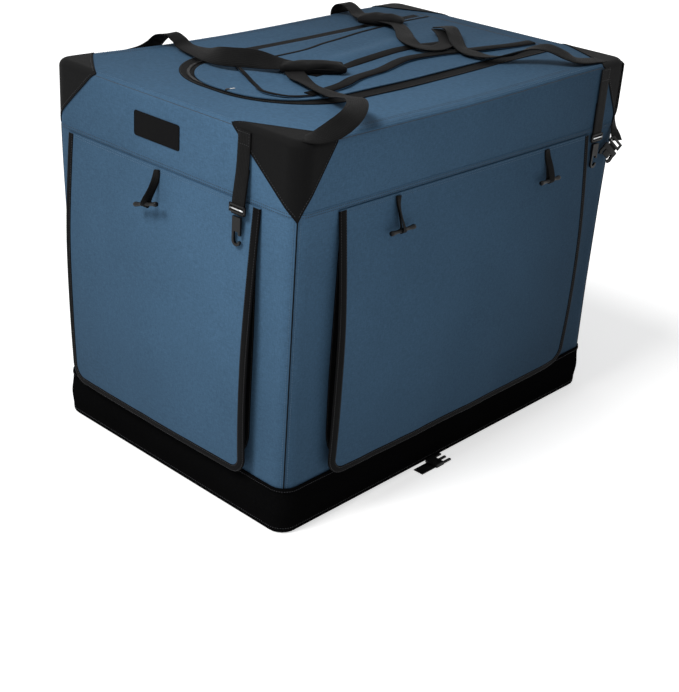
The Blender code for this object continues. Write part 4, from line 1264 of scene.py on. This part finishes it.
def tapeRoof():
    path = hangingEdge(*roofHole, roofSizes["radius"], 40, 24)
    ways = [upwards] * len(path)
    outs = [mixed(roofTape["outSides"], roofTape["outFront"], abs(inY)) for x, y, inX, inY in path]

    def line(runs, high):
        return [
            Vector((x + inX * run, y + inY * run, crate["roof"] + high)) for (x, y, inX, inY), run in zip(path, runs)
        ]

    outer = line([-out for out in outs], 0.0003)
    inner = line([roofTape["inside"]] * len(path), -0.0006)
    settle(wrapEdge("roofOpeningTape", outer, inner, ways, roofTape["thick"]), "roof")
    sew("zipTooth", "roof", "wall_cloth", None, line([roofTape["teeth"]] * len(path), 0.0008), ways)
    sew("darkStitch", "roof", "wall_cloth", None, line([roofTape["row"] - out for out in outs], 0.0012), ways)
    count = roofRows["count"]
    for x in roofRows["xs"]:
        ys = [roofRows["front"] + roofRows["length"] * i / count for i in range(count + 1)]
        spots = [Vector((x, y, roofHeight(x, y) + 0.0002)) for y in ys]
        sew("darkStitch", "roof", "wall_cloth", None, spots, [upwards] * len(spots))
    xs = [rearSeam["left"] + rearSeam["width"] * i / rearSeam["count"] for i in range(rearSeam["count"] + 1)]
    seam = [Vector((x, rearSeam["y"], roofHeight(x, rearSeam["y"]) - 0.0002)) for x in xs]
    settle(tubeAlong("rearRoofSeam", seam, rearSeam["radius"], darkThread, 6), "roof")


def curveThrough(points, count):
    # evenly spaced places on a smooth line through the points
    route = smoothRoute([Vector(p) for p in points], 12)
    runs = [0.0]
    for a, b in zip(route, route[1:]):
        runs.append(runs[-1] + (b - a).length)
    places = []
    k = 0
    for i in range(count + 1):
        run = runs[-1] * i / count
        while k < len(runs) - 2 and runs[k + 1] < run:
            k += 1
        places.append(route[k].lerp(route[k + 1], (run - runs[k]) / max(1e-9, runs[k + 1] - runs[k])))
    return places


roofCoverSizes = {
    "cloth": 0.0018, "upperCloth": 0.0016, "height": 0.7107, "radius": 0.128, "withdrawn": 0.022, "wave": 0.0014,
    "clearFront": 0.004, "clear": 0.002, "fold": 0.0075,
}
layers = {
    "front": [(-0.100, -0.225), (-0.057, -0.251), (0.021, -0.292), (0.071, -0.316), (0.115, -0.300), (0.134, -0.258)],
    "right": [
        (0.134, -0.258), (0.134, -0.215), (0.127, -0.163), (0.106, -0.104), (0.094, -0.024), (0.071, 0.068),
        (0.079, 0.137), (0.089, 0.179), (0.112, 0.250), (0.130, 0.320), (0.138, 0.376),
    ],
    "left": [(-0.100, -0.225), (-0.103, -0.064), (-0.122, 0.037), (-0.138, 0.162), (-0.146, 0.270), (-0.148, 0.376)],
    "rear": [(-0.148, 0.376), (0.138, 0.376)],
    "strip": [
        (0.052, -0.165), (0.046, -0.125), (0.038, -0.050), (0.028, 0.030), (0.021, 0.098), (0.024, 0.172),
        (0.030, 0.215),
    ],
}


def coverLayerHeight(x, y):
    # the lower layer's waves
    return roofCoverSizes["height"] + roofCoverSizes["wave"] * wavy(x * 14, y * 8, 0, 21.0) * 0.5


def topLayerHeight(x, y):
    # the upper layer lies on the lower one, and stands up in a soft fold beside the black strip
    high = roofCoverSizes["height"] + 0.0030 + 0.0011 * wavy(x * 18, y * 10, 0, 33.0)
    fold = math.exp(-(((x + 0.012 + 0.12 * (y - 0.05)) / 0.030) ** 2)) * smooth(-0.10, -0.02, y) * smooth(0.24, 0.15, y)
    return high + roofCoverSizes["fold"] * fold


def makeRoofCover():
    c = roofCoverSizes
    left, right = roofHole[0] + c["clear"], roofHole[1] - c["clear"]
    front, rear = roofHole[2] + c["clearFront"], roofHole[3] - c["clear"]
    lines = []
    count, bend, columns = 60, 14, 44
    for i in range(count + bend + 1):
        if i <= bend:
            turn = math.pi / 2 * i / bend
            y = front + c["radius"] * (1 - math.cos(turn))
            inset = c["radius"] * (1 - math.sin(turn))
        else:
            y = front + c["radius"] + (rear - front - c["radius"]) * (i - bend) / count
            inset = 0.0
        low = left + inset + c["withdrawn"] * smooth(-0.08, -0.22, y)
        high = max(right - inset, low + 0.02)
        xs = [mixed(low, high, j / columns) for j in range(columns + 1)]
        lines.append([Vector((x, y, coverLayerHeight(x, y))) for x in xs])
    piece = loft("roofCoverCloth", lines, coverCloth)
    thicken(piece, c["cloth"], offset=0.0)
    settle(piece, "roof_cover", ["roof_cover"])
    # a row of stitches round the lower layer
    line = []
    for x, y, inX, inY in hangingEdge(left + 0.004, right - 0.004, front + 0.004, rear - 0.004, c["radius"], 40, 20):
        x += c["withdrawn"] * smooth(-0.08, -0.22, y) * smooth(0.06, -0.02, x)
        line.append(Vector((x, y, coverLayerHeight(x, y) + 0.0010)))
    sew("paleStitch", "roof_cover", "cover_cloth", None, line, [upwards] * len(line))


def makeUpperLayer():
    columns, count = 40, 64
    frontLine, rearLine = (curveThrough(layers[name], columns) for name in ("front", "rear"))
    leftLine, rightLine = (curveThrough(layers[name], count) for name in ("left", "right"))
    lines = []
    for i in range(count + 1):
        v = i / count
        leftShift = leftLine[i] - leftLine[0].lerp(leftLine[-1], v)
        rightShift = rightLine[i] - rightLine[0].lerp(rightLine[-1], v)
        row = []
        for j in range(columns + 1):
            u = j / columns
            spot = frontLine[j].lerp(rearLine[j], v) + leftShift * (1 - u) + rightShift * u
            row.append(Vector((spot.x, spot.y, topLayerHeight(spot.x, spot.y))))
        lines.append(row)
    piece = loft("roofCoverUpperLayer", lines, coverCloth)
    thicken(piece, roofCoverSizes["upperCloth"], offset=0.0)
    settle(piece, "roof_cover")

    # each tape is its line, the side it lies on, its width, its thickness and how high it lies
    for name, line, inwards, wide, thick, lift in (
        ("roofCoverSideBinding", rightLine, 1, 0.022, 0.0044, 0.0012),
        ("roofCoverFrontBinding", frontLine, 1, 0.0085, 0.0036, 0.0),
        ("roofCoverLeftBinding", leftLine, -1, 0.0075, 0.0034, 0.0),
        ("roofCoverStrip", curveThrough(layers["strip"], 50), 1, 0.018, 0.0024, 0.0012),
    ):
        spots, inside = [], []
        for i, p in enumerate(line):
            ahead = line[min(i + 1, len(line) - 1)] - line[max(i - 1, 0)]
            q = p + Vector((-ahead.y, ahead.x)).normalized() * inwards * wide
            spots.append(Vector((p.x, p.y, topLayerHeight(p.x, p.y) + lift)))
            inside.append(Vector((q.x, q.y, topLayerHeight(q.x, q.y) + lift)))
        settle(wrapEdge(name, spots, inside, [upwards] * len(spots), thick), "roof_cover")


def rounded(name, spot, size, edge, material, turn=0.0):
    # a block with rounded edges
    bm = bmesh.new()
    bmesh.ops.create_cube(bm, size=1.0)
    for v in bm.verts:
        v.co = Vector((v.co.x * size[0], v.co.y * size[1], v.co.z * size[2]))
    bmesh.ops.bevel(bm, geom=bm.edges[:], offset=edge, segments=3, profile=0.5, affect="EDGES")
    bmesh.ops.rotate(bm, verts=bm.verts, cent=(0, 0, 0), matrix=Matrix.Rotation(turn, 3, "Z"))
    bmesh.ops.translate(bm, verts=bm.verts, vec=spot)
    return sharpen(fromBmesh(name, bm, material), 35)


tapeRoof()
makeRoofCover()
makeUpperLayer()
pull = joined("roofZipPull", [
    rounded("slider", (0.019, -0.3475, 0.7118), (0.006, 0.008, 0.0034), 0.0012, plastic, 0.35),
    rounded("tab", (0.021, -0.3380, 0.7128), (0.0035, 0.010, 0.0012), 0.0005, silverSteel, -0.1),
])
settle(pull, "roof")
print("roof opening dressed")

# ---- netting in the doors and windows, by geometry nodes

netSizes = {"Pitch": 0.0034, "Strand": 0.0008}
rimSizes = {"wide": 0.014, "thick": 0.0022, "behind": 0.0014, "roofHeight": 0.7068, "radiusClear": 0.001}
nets = {
    "frontDoor": {"body": "front_door", "node": "front_mesh_door", "side": "front", "clear": 0.0007, "fold": "door"},
    "rightDoor": {"body": "right_door", "node": "right_mesh_door", "side": "right", "clear": 0.0007, "fold": "door"},
    "rearWindow": {"body": "base", "node": "rear_mesh_window", "side": "rear", "clear": 0.0003, "fold": "wall"},
    "leftWindow": {"body": "base", "node": "left_mesh_window", "side": "left", "clear": 0.0003, "fold": "wall"},
    "roofDoor": {"body": "roof_door", "node": "roof_mesh_door", "side": "roof", "clear": 0.0007, "fold": None},
}


def netTree():
    # strands both ways in a shape with round lower corners; x runs across and z up from the lower edge
    sizes = ("Width", "Height", "Radius", "Pitch", "Strand")
    tree, start = openGroup("netting", sizes)
    width, height, radius, pitch, strand = (start[size] for size in sizes)
    position = addNode(tree, "GeometryNodeInputPosition").outputs[0]
    place = addNode(tree, "ShaderNodeSeparateXYZ", {0: position}).outputs
    block = addNode(tree, "GeometryNodeMeshCube").outputs["Mesh"]

    def inset(run):
        # how far the round corner cuts in at a run from its edge
        short = maths(tree, "MAXIMUM", maths(tree, "SUBTRACT", radius, run), 0.0)
        squares = (maths(tree, "MULTIPLY", side, side) for side in (radius, short))
        inside = maths(tree, "MAXIMUM", maths(tree, "SUBTRACT", *squares), 0.0)
        return maths(tree, "SUBTRACT", radius, maths(tree, "SQRT", inside))

    def strands(run, first, step, size):
        # strands a pitch apart along a run
        count = maths(tree, "SUBTRACT", maths(tree, "FLOOR", maths(tree, "DIVIDE", run, pitch)), 1.0)
        inputs = {"Count": count, "Start Location": first, "Offset": step}
        points = addNode(tree, "GeometryNodeMeshLine", inputs, mode="OFFSET").outputs["Mesh"]
        inputs = {"Points": points, "Instance": block, "Scale": size}
        return addNode(tree, "GeometryNodeInstanceOnPoints", inputs).outputs["Instances"]

    deep = maths(tree, "MULTIPLY", strand, 0.6)
    run = maths(tree, "SUBTRACT", maths(tree, "MULTIPLY", width, 0.5), maths(tree, "ABSOLUTE", place["X"]))
    low = inset(run)
    first = combined(tree, maths(tree, "ADD", maths(tree, "MULTIPLY", width, -0.5), pitch), 0.0, 0.0)
    size = combined(tree, strand, deep, maths(tree, "SUBTRACT", height, low))
    upright = strands(width, first, combined(tree, pitch, 0.0, 0.0), size)
    middle = combined(tree, 0.0, 0.0, maths(tree, "MULTIPLY", maths(tree, "ADD", height, low), 0.5))
    inputs = {"Instances": upright, "Translation": middle, "Local Space": False}
    raised = addNode(tree, "GeometryNodeTranslateInstances", inputs).outputs["Instances"]
    span = maths(tree, "SUBTRACT", width, maths(tree, "MULTIPLY", inset(place["Z"]), 2.0))
    rise = combined(tree, 0.0, 0.0, pitch)
    across = strands(height, rise, rise, combined(tree, span, deep, strand))
    both = addNode(tree, "GeometryNodeJoinGeometry")
    for strandLines in (raised, across):
        tree.links.new(strandLines, both.inputs["Geometry"])
    return closeGroup(tree, start, both.outputs["Geometry"])


def makeNet(name, n, tree):
    onRoof, clear = n["side"] == "roof", n["clear"]
    left, right, bottom, top = roofHole if onRoof else openings[n["side"]]
    left, right, bottom, top = left + clear, right - clear, bottom + clear, top - clear
    radius = (roofSizes["radius"] if onRoof else openingRadius) - rimSizes["radiusClear"]

    def spot(x, z, out):
        if onRoof:
            return Vector((x, z, rimSizes["roofHeight"] + out))
        return onSide(n["side"], x, out - rimSizes["behind"], z)

    data = bpy.data.meshes.new(name + "Netting")
    data.from_pydata([(0, 0, 0)], [], [])
    piece = link(name + "Netting", data)
    values = {"Width": right - left, "Height": top - bottom, "Radius": radius, "Material": netThread, **netSizes}
    runTree(piece, tree, values)
    for v in piece.data.vertices:
        v.co = spot(v.co.x + (left + right) / 2, v.co.z + bottom, -v.co.y)
    if onRoof:
        piece.data.flip_normals()
    settle(piece, n["body"], [n["node"]], n["fold"])
    wide, thick = rimSizes["wide"], rimSizes["thick"]
    path = hangingEdge(left, right, bottom, top, radius, 30, 16)
    outer = [spot(x, z, 0.0) for x, z, inX, inZ in path]
    inner = [spot(x + inX * wide, z + inZ * wide, 0.0) for x, z, inX, inZ in path]
    way = spot(0, 0, 1) - spot(0, 0, 0)
    border = wrapEdge(name + "Border", outer, inner, [way] * len(path), thick)
    head, foot = ([spot(mixed(left, right, i / 20), z, 0.0) for i in range(21)] for z in (top, top - wide))
    header = wrapEdge(name + "Header", head, foot, [way] * 21, thick)
    settle(joined(name + "Rim", [border, header]), n["body"], (), n["fold"])
    line = [a.lerp(b, 0.8) + way * 0.0012 for a, b in zip(outer, inner)]
    sew("darkStitch", n["body"], "mesh", n["fold"], line, [way] * len(path))


tree = netTree()
for name, n in nets.items():
    makeNet(name, n, tree)
print("netting woven")

# ---- padded pieces

clothSettings = {
    "use_pressure": True, "uniform_pressure_force": 4.0, "mass": 0.25, "tension_stiffness": 12.0,
    "compression_stiffness": 12.0,
}
padSizes = {"frames": 20, "gripFirstVoxel": 0.003, "gripVoxel": 0.0045, "gripCap": 0.006, "edge": 0.0045}
grips = {
    "front": {"spot": (0.026, -0.150, 0.7240), "tilt": 0.98, "size": (0.124, 0.044, 0.0145)},
    "rear": {"spot": (-0.158, 0.242, 0.7230), "tilt": 0.55, "size": (0.098, 0.044, 0.0140)},
}
matSizes = {
    "spot": (0, 0, 0.0123), "size": (0.530, 0.808, 0.0108), "voxel": 0.0060, "cap": 0.0045, "lowest": 0.0068,
    "wave": 0.0009,
}


def evened(piece, voxel):
    step = piece.modifiers.new("even", "REMESH")
    step.mode = "VOXEL"
    step.voxel_size = voxel
    bake(piece)


def puff(piece, voxel, cap, lowest=None):
    # swells as stuffed cloth does; no point moves further than the cap or below the lowest height
    evened(piece, voxel)
    before = [v.co.copy() for v in piece.data.vertices]
    step = piece.modifiers.new("cloth", "CLOTH")
    for name, value in clothSettings.items():
        setattr(step.settings, name, value)
    step.settings.effector_weights.gravity = 0.0
    step.point_cache.frame_start = 1
    step.point_cache.frame_end = padSizes["frames"]
    for number in range(1, padSizes["frames"] + 1):
        scene.frame_set(number)
    bake(piece)
    scene.frame_set(1)
    for v, was in zip(piece.data.vertices, before):
        shift = v.co - was
        if shift.length > cap:
            shift *= cap / shift.length
        v.co = was + shift
        if lowest is not None:
            v.co.z = max(v.co.z, lowest)
    step = piece.modifiers.new("soft", "SUBSURF")
    step.levels = 1
    step.render_levels = 1
    bake(piece)
    piece.data.shade_smooth()


def makeGrip(endName):
    g = grips[endName]
    seed = g["spot"][0]
    piece = rounded(endName + "HandleGrip", (0, 0, 0), g["size"], padSizes["edge"], blackCloth)
    evened(piece, padSizes["gripFirstVoxel"])
    for v in piece.data.vertices:
        # the wrap is bunched: pinched in places and thinner to its ends
        x, y, z = v.co
        bunch = 1 + 0.16 * wavy(x * 30, 2, 0, seed) - 0.10 * smooth(0.040, 0.062, abs(x))
        fold = 0.0016 * wavy(x * 60, y * 45, z * 20, 5.0 + seed)
        v.co = Vector((x, y * bunch, z * (0.95 + 0.2 * wavy(x * 24, y * 30, 0, 8.0)) + fold))
    puff(piece, padSizes["gripVoxel"], padSizes["gripCap"])
    turn = Matrix.Rotation(g["tilt"], 3, "Z")
    for v in piece.data.vertices:
        v.co = turn @ v.co + Vector(g["spot"])
    settle(piece, endName + "_handle", [endName + "_handle_grip"], endName + "Handle")


for endName in grips:
    makeGrip(endName)

mat = rounded("fleeceMat", matSizes["spot"], matSizes["size"], padSizes["edge"], fleece)
puff(mat, matSizes["voxel"], matSizes["cap"], matSizes["lowest"])
for v in mat.data.vertices:
    v.co.z += matSizes["wave"] * wavy(v.co.x * 9, v.co.y * 9, 0, 3.0) * smooth(0.0100, 0.0160, v.co.z)
settle(mat, "base", ["fleece_mat"])
print("padded pieces stuffed")

# ---- toggles, hook straps and the plate

toggles = {
    "front_toggle": {"side": "front", "x": -0.027, "stand": 0.0299, "twist": 1.25, "sway": 0.004, "tilt": 0.28},
    "right_toggle_front": {"side": "right", "x": -0.2235, "stand": 0.0209, "twist": 0.55, "sway": -0.002, "tilt": 0.0},
    "right_toggle_rear": {"side": "right", "x": 0.205, "stand": 0.0209, "twist": -0.40, "sway": 0.002, "tilt": 0.0},
}
toggleSizes = {"width": 0.0125, "thick": 0.0012, "top": 0.5803, "bar": 0.5237, "root": 0.0056}
# the way down a ply, its distance from the other one, and its share of the sway
plyShape = ((0.0, 0.0008, 0), (0.25, 0.0011, 0.6), (0.55, 0.0020, 1), (0.85, 0.0034, 0.4), (1.0, 0.0044, 0))
barShape = [
    (-0.0310, 0.0026), (-0.0302, 0.0040), (-0.0280, 0.0046), (-0.0245, 0.0042), (-0.0170, 0.0033), (-0.0100, 0.0032),
    (-0.0085, 0.0039), (0.0085, 0.0039), (0.0100, 0.0032), (0.0170, 0.0033), (0.0245, 0.0042), (0.0280, 0.0046),
    (0.0302, 0.0040), (0.0310, 0.0026),
]


def makeToggle(node, t):
    side, x, size = t["side"], t["x"], toggleSizes
    out, along = sideWays(side)
    parts = []
    for way in (1, -1):
        knots = []
        for share, gap, swayShare in plyShape:
            reach = mixed(size["root"], t["stand"], smooth(0.0, 1.0, share)) + way * gap
            height = mixed(size["top"], size["bar"] + 0.0005, share)
            knots.append(onSide(side, x + t["sway"] * swayShare, reach, height))
        for gap, drop in ((0.0030, 0.0035), (0.0002, 0.0050)):
            knots.append(onSide(side, x, t["stand"] + way * gap, size["bar"] - drop))
        route = smoothRoute(knots, 8)
        ways = []
        for i in range(len(route)):
            turn = t["twist"] * math.sin(math.pi * min(1.0, i / (len(route) - 1) / 0.8))
            ways.append(out * math.cos(turn) + along * math.sin(turn))
        parts.append(tapeAlong("ply", route, ways, size["width"], size["thick"]))
    middle = onSide(side, x, t["stand"], size["bar"])
    barWay = along * math.cos(t["tilt"]) + Vector((0, 0, math.sin(t["tilt"])))
    bar = tubeAlong("bar", [middle + barWay * run for run, r in barShape], [r for run, r in barShape], plastic, 16)
    parts.append(sharpen(bar, 50))
    name = "".join(part.title() if i else part for i, part in enumerate(node.split("_")))
    settle(joined(name + "Loop", parts), node, [node], "cover")


for node, t in toggles.items():
    makeToggle(node, t)

strapSizes = {
    "width": 0.029, "thick": 0.0015, "slider": (0.038, 0.0032, 0.0150), "sliderHeight": 0.5735, "post": 0.0040,
    "bar": 0.0034, "edge": 0.0009, "pin": 0.0014,
    "heights": (0.7012, 0.6800, 0.6400, 0.6050, 0.5800, 0.5640),
}
# outs says how far the strap stands out at each of these heights
hookStraps = {
    "front": {
        "side": "front", "x": 0.183, "fold": "frontHook", "outs": (0.0032, 0.0032, 0.0050, 0.0095, 0.0128, 0.0136),
    },
    "rear": {"side": "right", "x": 0.377, "fold": None, "outs": (0.0032, 0.0031, 0.0034, 0.0038, 0.0040, 0.0040)},
}
# the rows sewn in a box at the strap's head
strapBox = [(-0.0115, 0.6985), (0.0115, 0.6985), (0.0115, 0.6790), (-0.0115, 0.6790), (-0.0115, 0.6985)]


def makeHookStrap(endName, h):
    side, x, size = h["side"], h["x"], strapSizes
    out = sideWays(side)[0]
    upper = smoothRoute([onSide(side, x, reach, z) for reach, z in zip(h["outs"], size["heights"])], 8)
    under = [spot - out * 0.0020 for spot in upper[16:]]
    parts = [
        tapeAlong(name, route, [out] * len(route), size["width"], size["thick"])
        for name, route in (("strap", upper), ("return", under))
    ]
    reach, z, turn = h["outs"][4] + 0.0008, size["sliderHeight"], sideTurns[side]
    wide, deep, tall = size["slider"]
    post, bar, edge = size["post"], size["bar"], size["edge"]
    for shift in (-1, 1):
        spot = onSide(side, x + shift * (wide - post) / 2, reach, z)
        parts.append(rounded("post", spot, (post, deep, tall), edge, plastic, turn))
        spot = onSide(side, x, reach, z + shift * (tall - bar) / 2)
        parts.append(rounded("bar", spot, (wide, deep, bar), edge, plastic, turn))
    pin = [onSide(side, x + share * 0.0150, reach + 0.0018, z) for share in (-1, -0.5, 0, 0.5, 1)]
    parts.append(tubeAlong("pin", pin, size["pin"], silverSteel, 10))
    body = endName + "_hook_strap"
    settle(joined(endName + "HookStrap", parts), body, [endName + "_snap_hook_strap"], h["fold"])
    line = []
    for (xa, za), (xb, zb) in zip(strapBox, strapBox[1:]):
        line += [onSide(side, x + mixed(xa, xb, i / 8), 0.0042, mixed(za, zb, i / 8)) for i in range(8)]
    line.append(onSide(side, x + strapBox[0][0], 0.0042, strapBox[0][1]))
    sew("darkStitch", body, "webbing", h["fold"], line, [out] * len(line))


for endName, h in hookStraps.items():
    makeHookStrap(endName, h)

cornerStrap = {
    "width": 0.025, "thick": 0.0014, "spot": (0.322, 0.430, 0.556), "along": (0.300, 0.954, 0.0), "tilt": 0.733,
    "knots": [
        (0.2983, 0.4503, 0.7010, 0.7, 0.7, 0), (0.2985, 0.4505, 0.6800, 0.7, 0.7, 0),
        (0.2986, 0.4506, 0.6450, 0.7, 0.7, 0), (0.2995, 0.4500, 0.6150, 0.75, 0.65, 0.05),
        (0.3035, 0.4440, 0.5920, 0.9, 0.3, 0.1), (0.3130, 0.4375, 0.5750, 0.95, -0.2, 0.05),
        (0.3232, 0.4338, 0.5605, 0.954, -0.3, 0),
    ],
    "blocks": [
        ("post", (-0.0160, 0, 0), (0.0050, 0.0034, 0.0150), 0.0010, plastic),
        ("post", (0.0160, 0, 0), (0.0050, 0.0034, 0.0150), 0.0010, plastic),
        ("bar", (0, 0, 0.0050), (0.0370, 0.0034, 0.0050), 0.0010, plastic),
        ("bar", (0, 0, -0.0050), (0.0370, 0.0034, 0.0050), 0.0010, plastic),
        ("web", (0, -0.0004, -0.0095), (0.0240, 0.0016, 0.0110), 0.0005, webbing),
        ("yoke", (0, 0, -0.0175), (0.0400, 0.0056, 0.0110), 0.0018, plastic),
        ("guide", (0, 0, -0.0270), (0.0190, 0.0034, 0.0150), 0.0012, plastic),
    ],
    "blade": [(0.0150, -0.0210), (0.0165, -0.0280), (0.0172, -0.0330), (0.0140, -0.0385)],
    "bladeSize": (0.0066, 0.0040),
}


def makeCornerStrap():
    # a strap with a slider and the blade half of a side-release buckle, which hangs turned from the rear corner
    c = cornerStrap
    along, up = Vector(c["along"]).normalized(), Vector((0, 0, 1))
    turned = Matrix((along, up.cross(along), up)).transposed() @ Matrix.Rotation(c["tilt"], 3, "Y")
    parts = [rounded(*block) for block in c["blocks"]]
    for way in (-1, 1):
        blade = [Vector((x * way, 0, z)) for x, z in c["blade"]]
        parts.append(tapeAlong("blade", blade, [Vector((0, -1, 0))] * 4, *c["bladeSize"], plastic))
    for part in parts:
        for v in part.data.vertices:
            v.co = turned @ v.co + Vector(c["spot"])
    parts.append(knottedTape("strap", c["knots"], 6, c))
    settle(joined("cornerBuckleStrap", parts), "corner_buckle", ["corner_buckle"])


def makePlate():
    p = plateSizes
    thick, rim, edge = p["thick"], p["rim"], 0.0004
    lines = []
    for inset, out in ((0.0, edge), (0.0, thick - edge), (edge, thick), (rim, thick), (rim + edge, thick - edge)):
        w, h, r = p["width"] / 2 - inset, p["height"] / 2 - inset, p["round"] - inset * 0.6
        row = []
        for cornerX, cornerZ, first in ((1, -1, -90), (1, 1, 0), (-1, 1, 90), (-1, -1, 180)):
            for i in range(7):
                turn = math.radians(first + 15 * i)
                x = cornerX * (w - r) + r * math.cos(turn)
                z = cornerZ * (h - r) + r * math.sin(turn)
                row.append(onSide("front", p["x"] + x, out, p["z"] + z))
        lines.append(row)
    piece = loft("barePlate", lines, bindingTape, closedAcross=True, capped=True)
    fixNormals(piece)
    settle(sharpen(piece, 30), "roof", ["name_plate"], "band")


makeCornerStrap()
makePlate()
makeRows()
print("toggles, straps and plate made")

# ---- finishes of the solids that stay as they are

keptLooks = {
    "steel": powderCoat, "plastic": plastic, "board": board, "fleece": fleece, "mesh": netThread, "webbing": webbing,
    "black_cloth": blackCloth, "wall_cloth": wallCloth, "cover_cloth": coverCloth,
}
for part in frame["record"]["subparts"]:
    for slotPlace in nodes[part["node"]].material_slots:
        slotPlace.material = keptLooks[part["material_slot"]]

low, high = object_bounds()
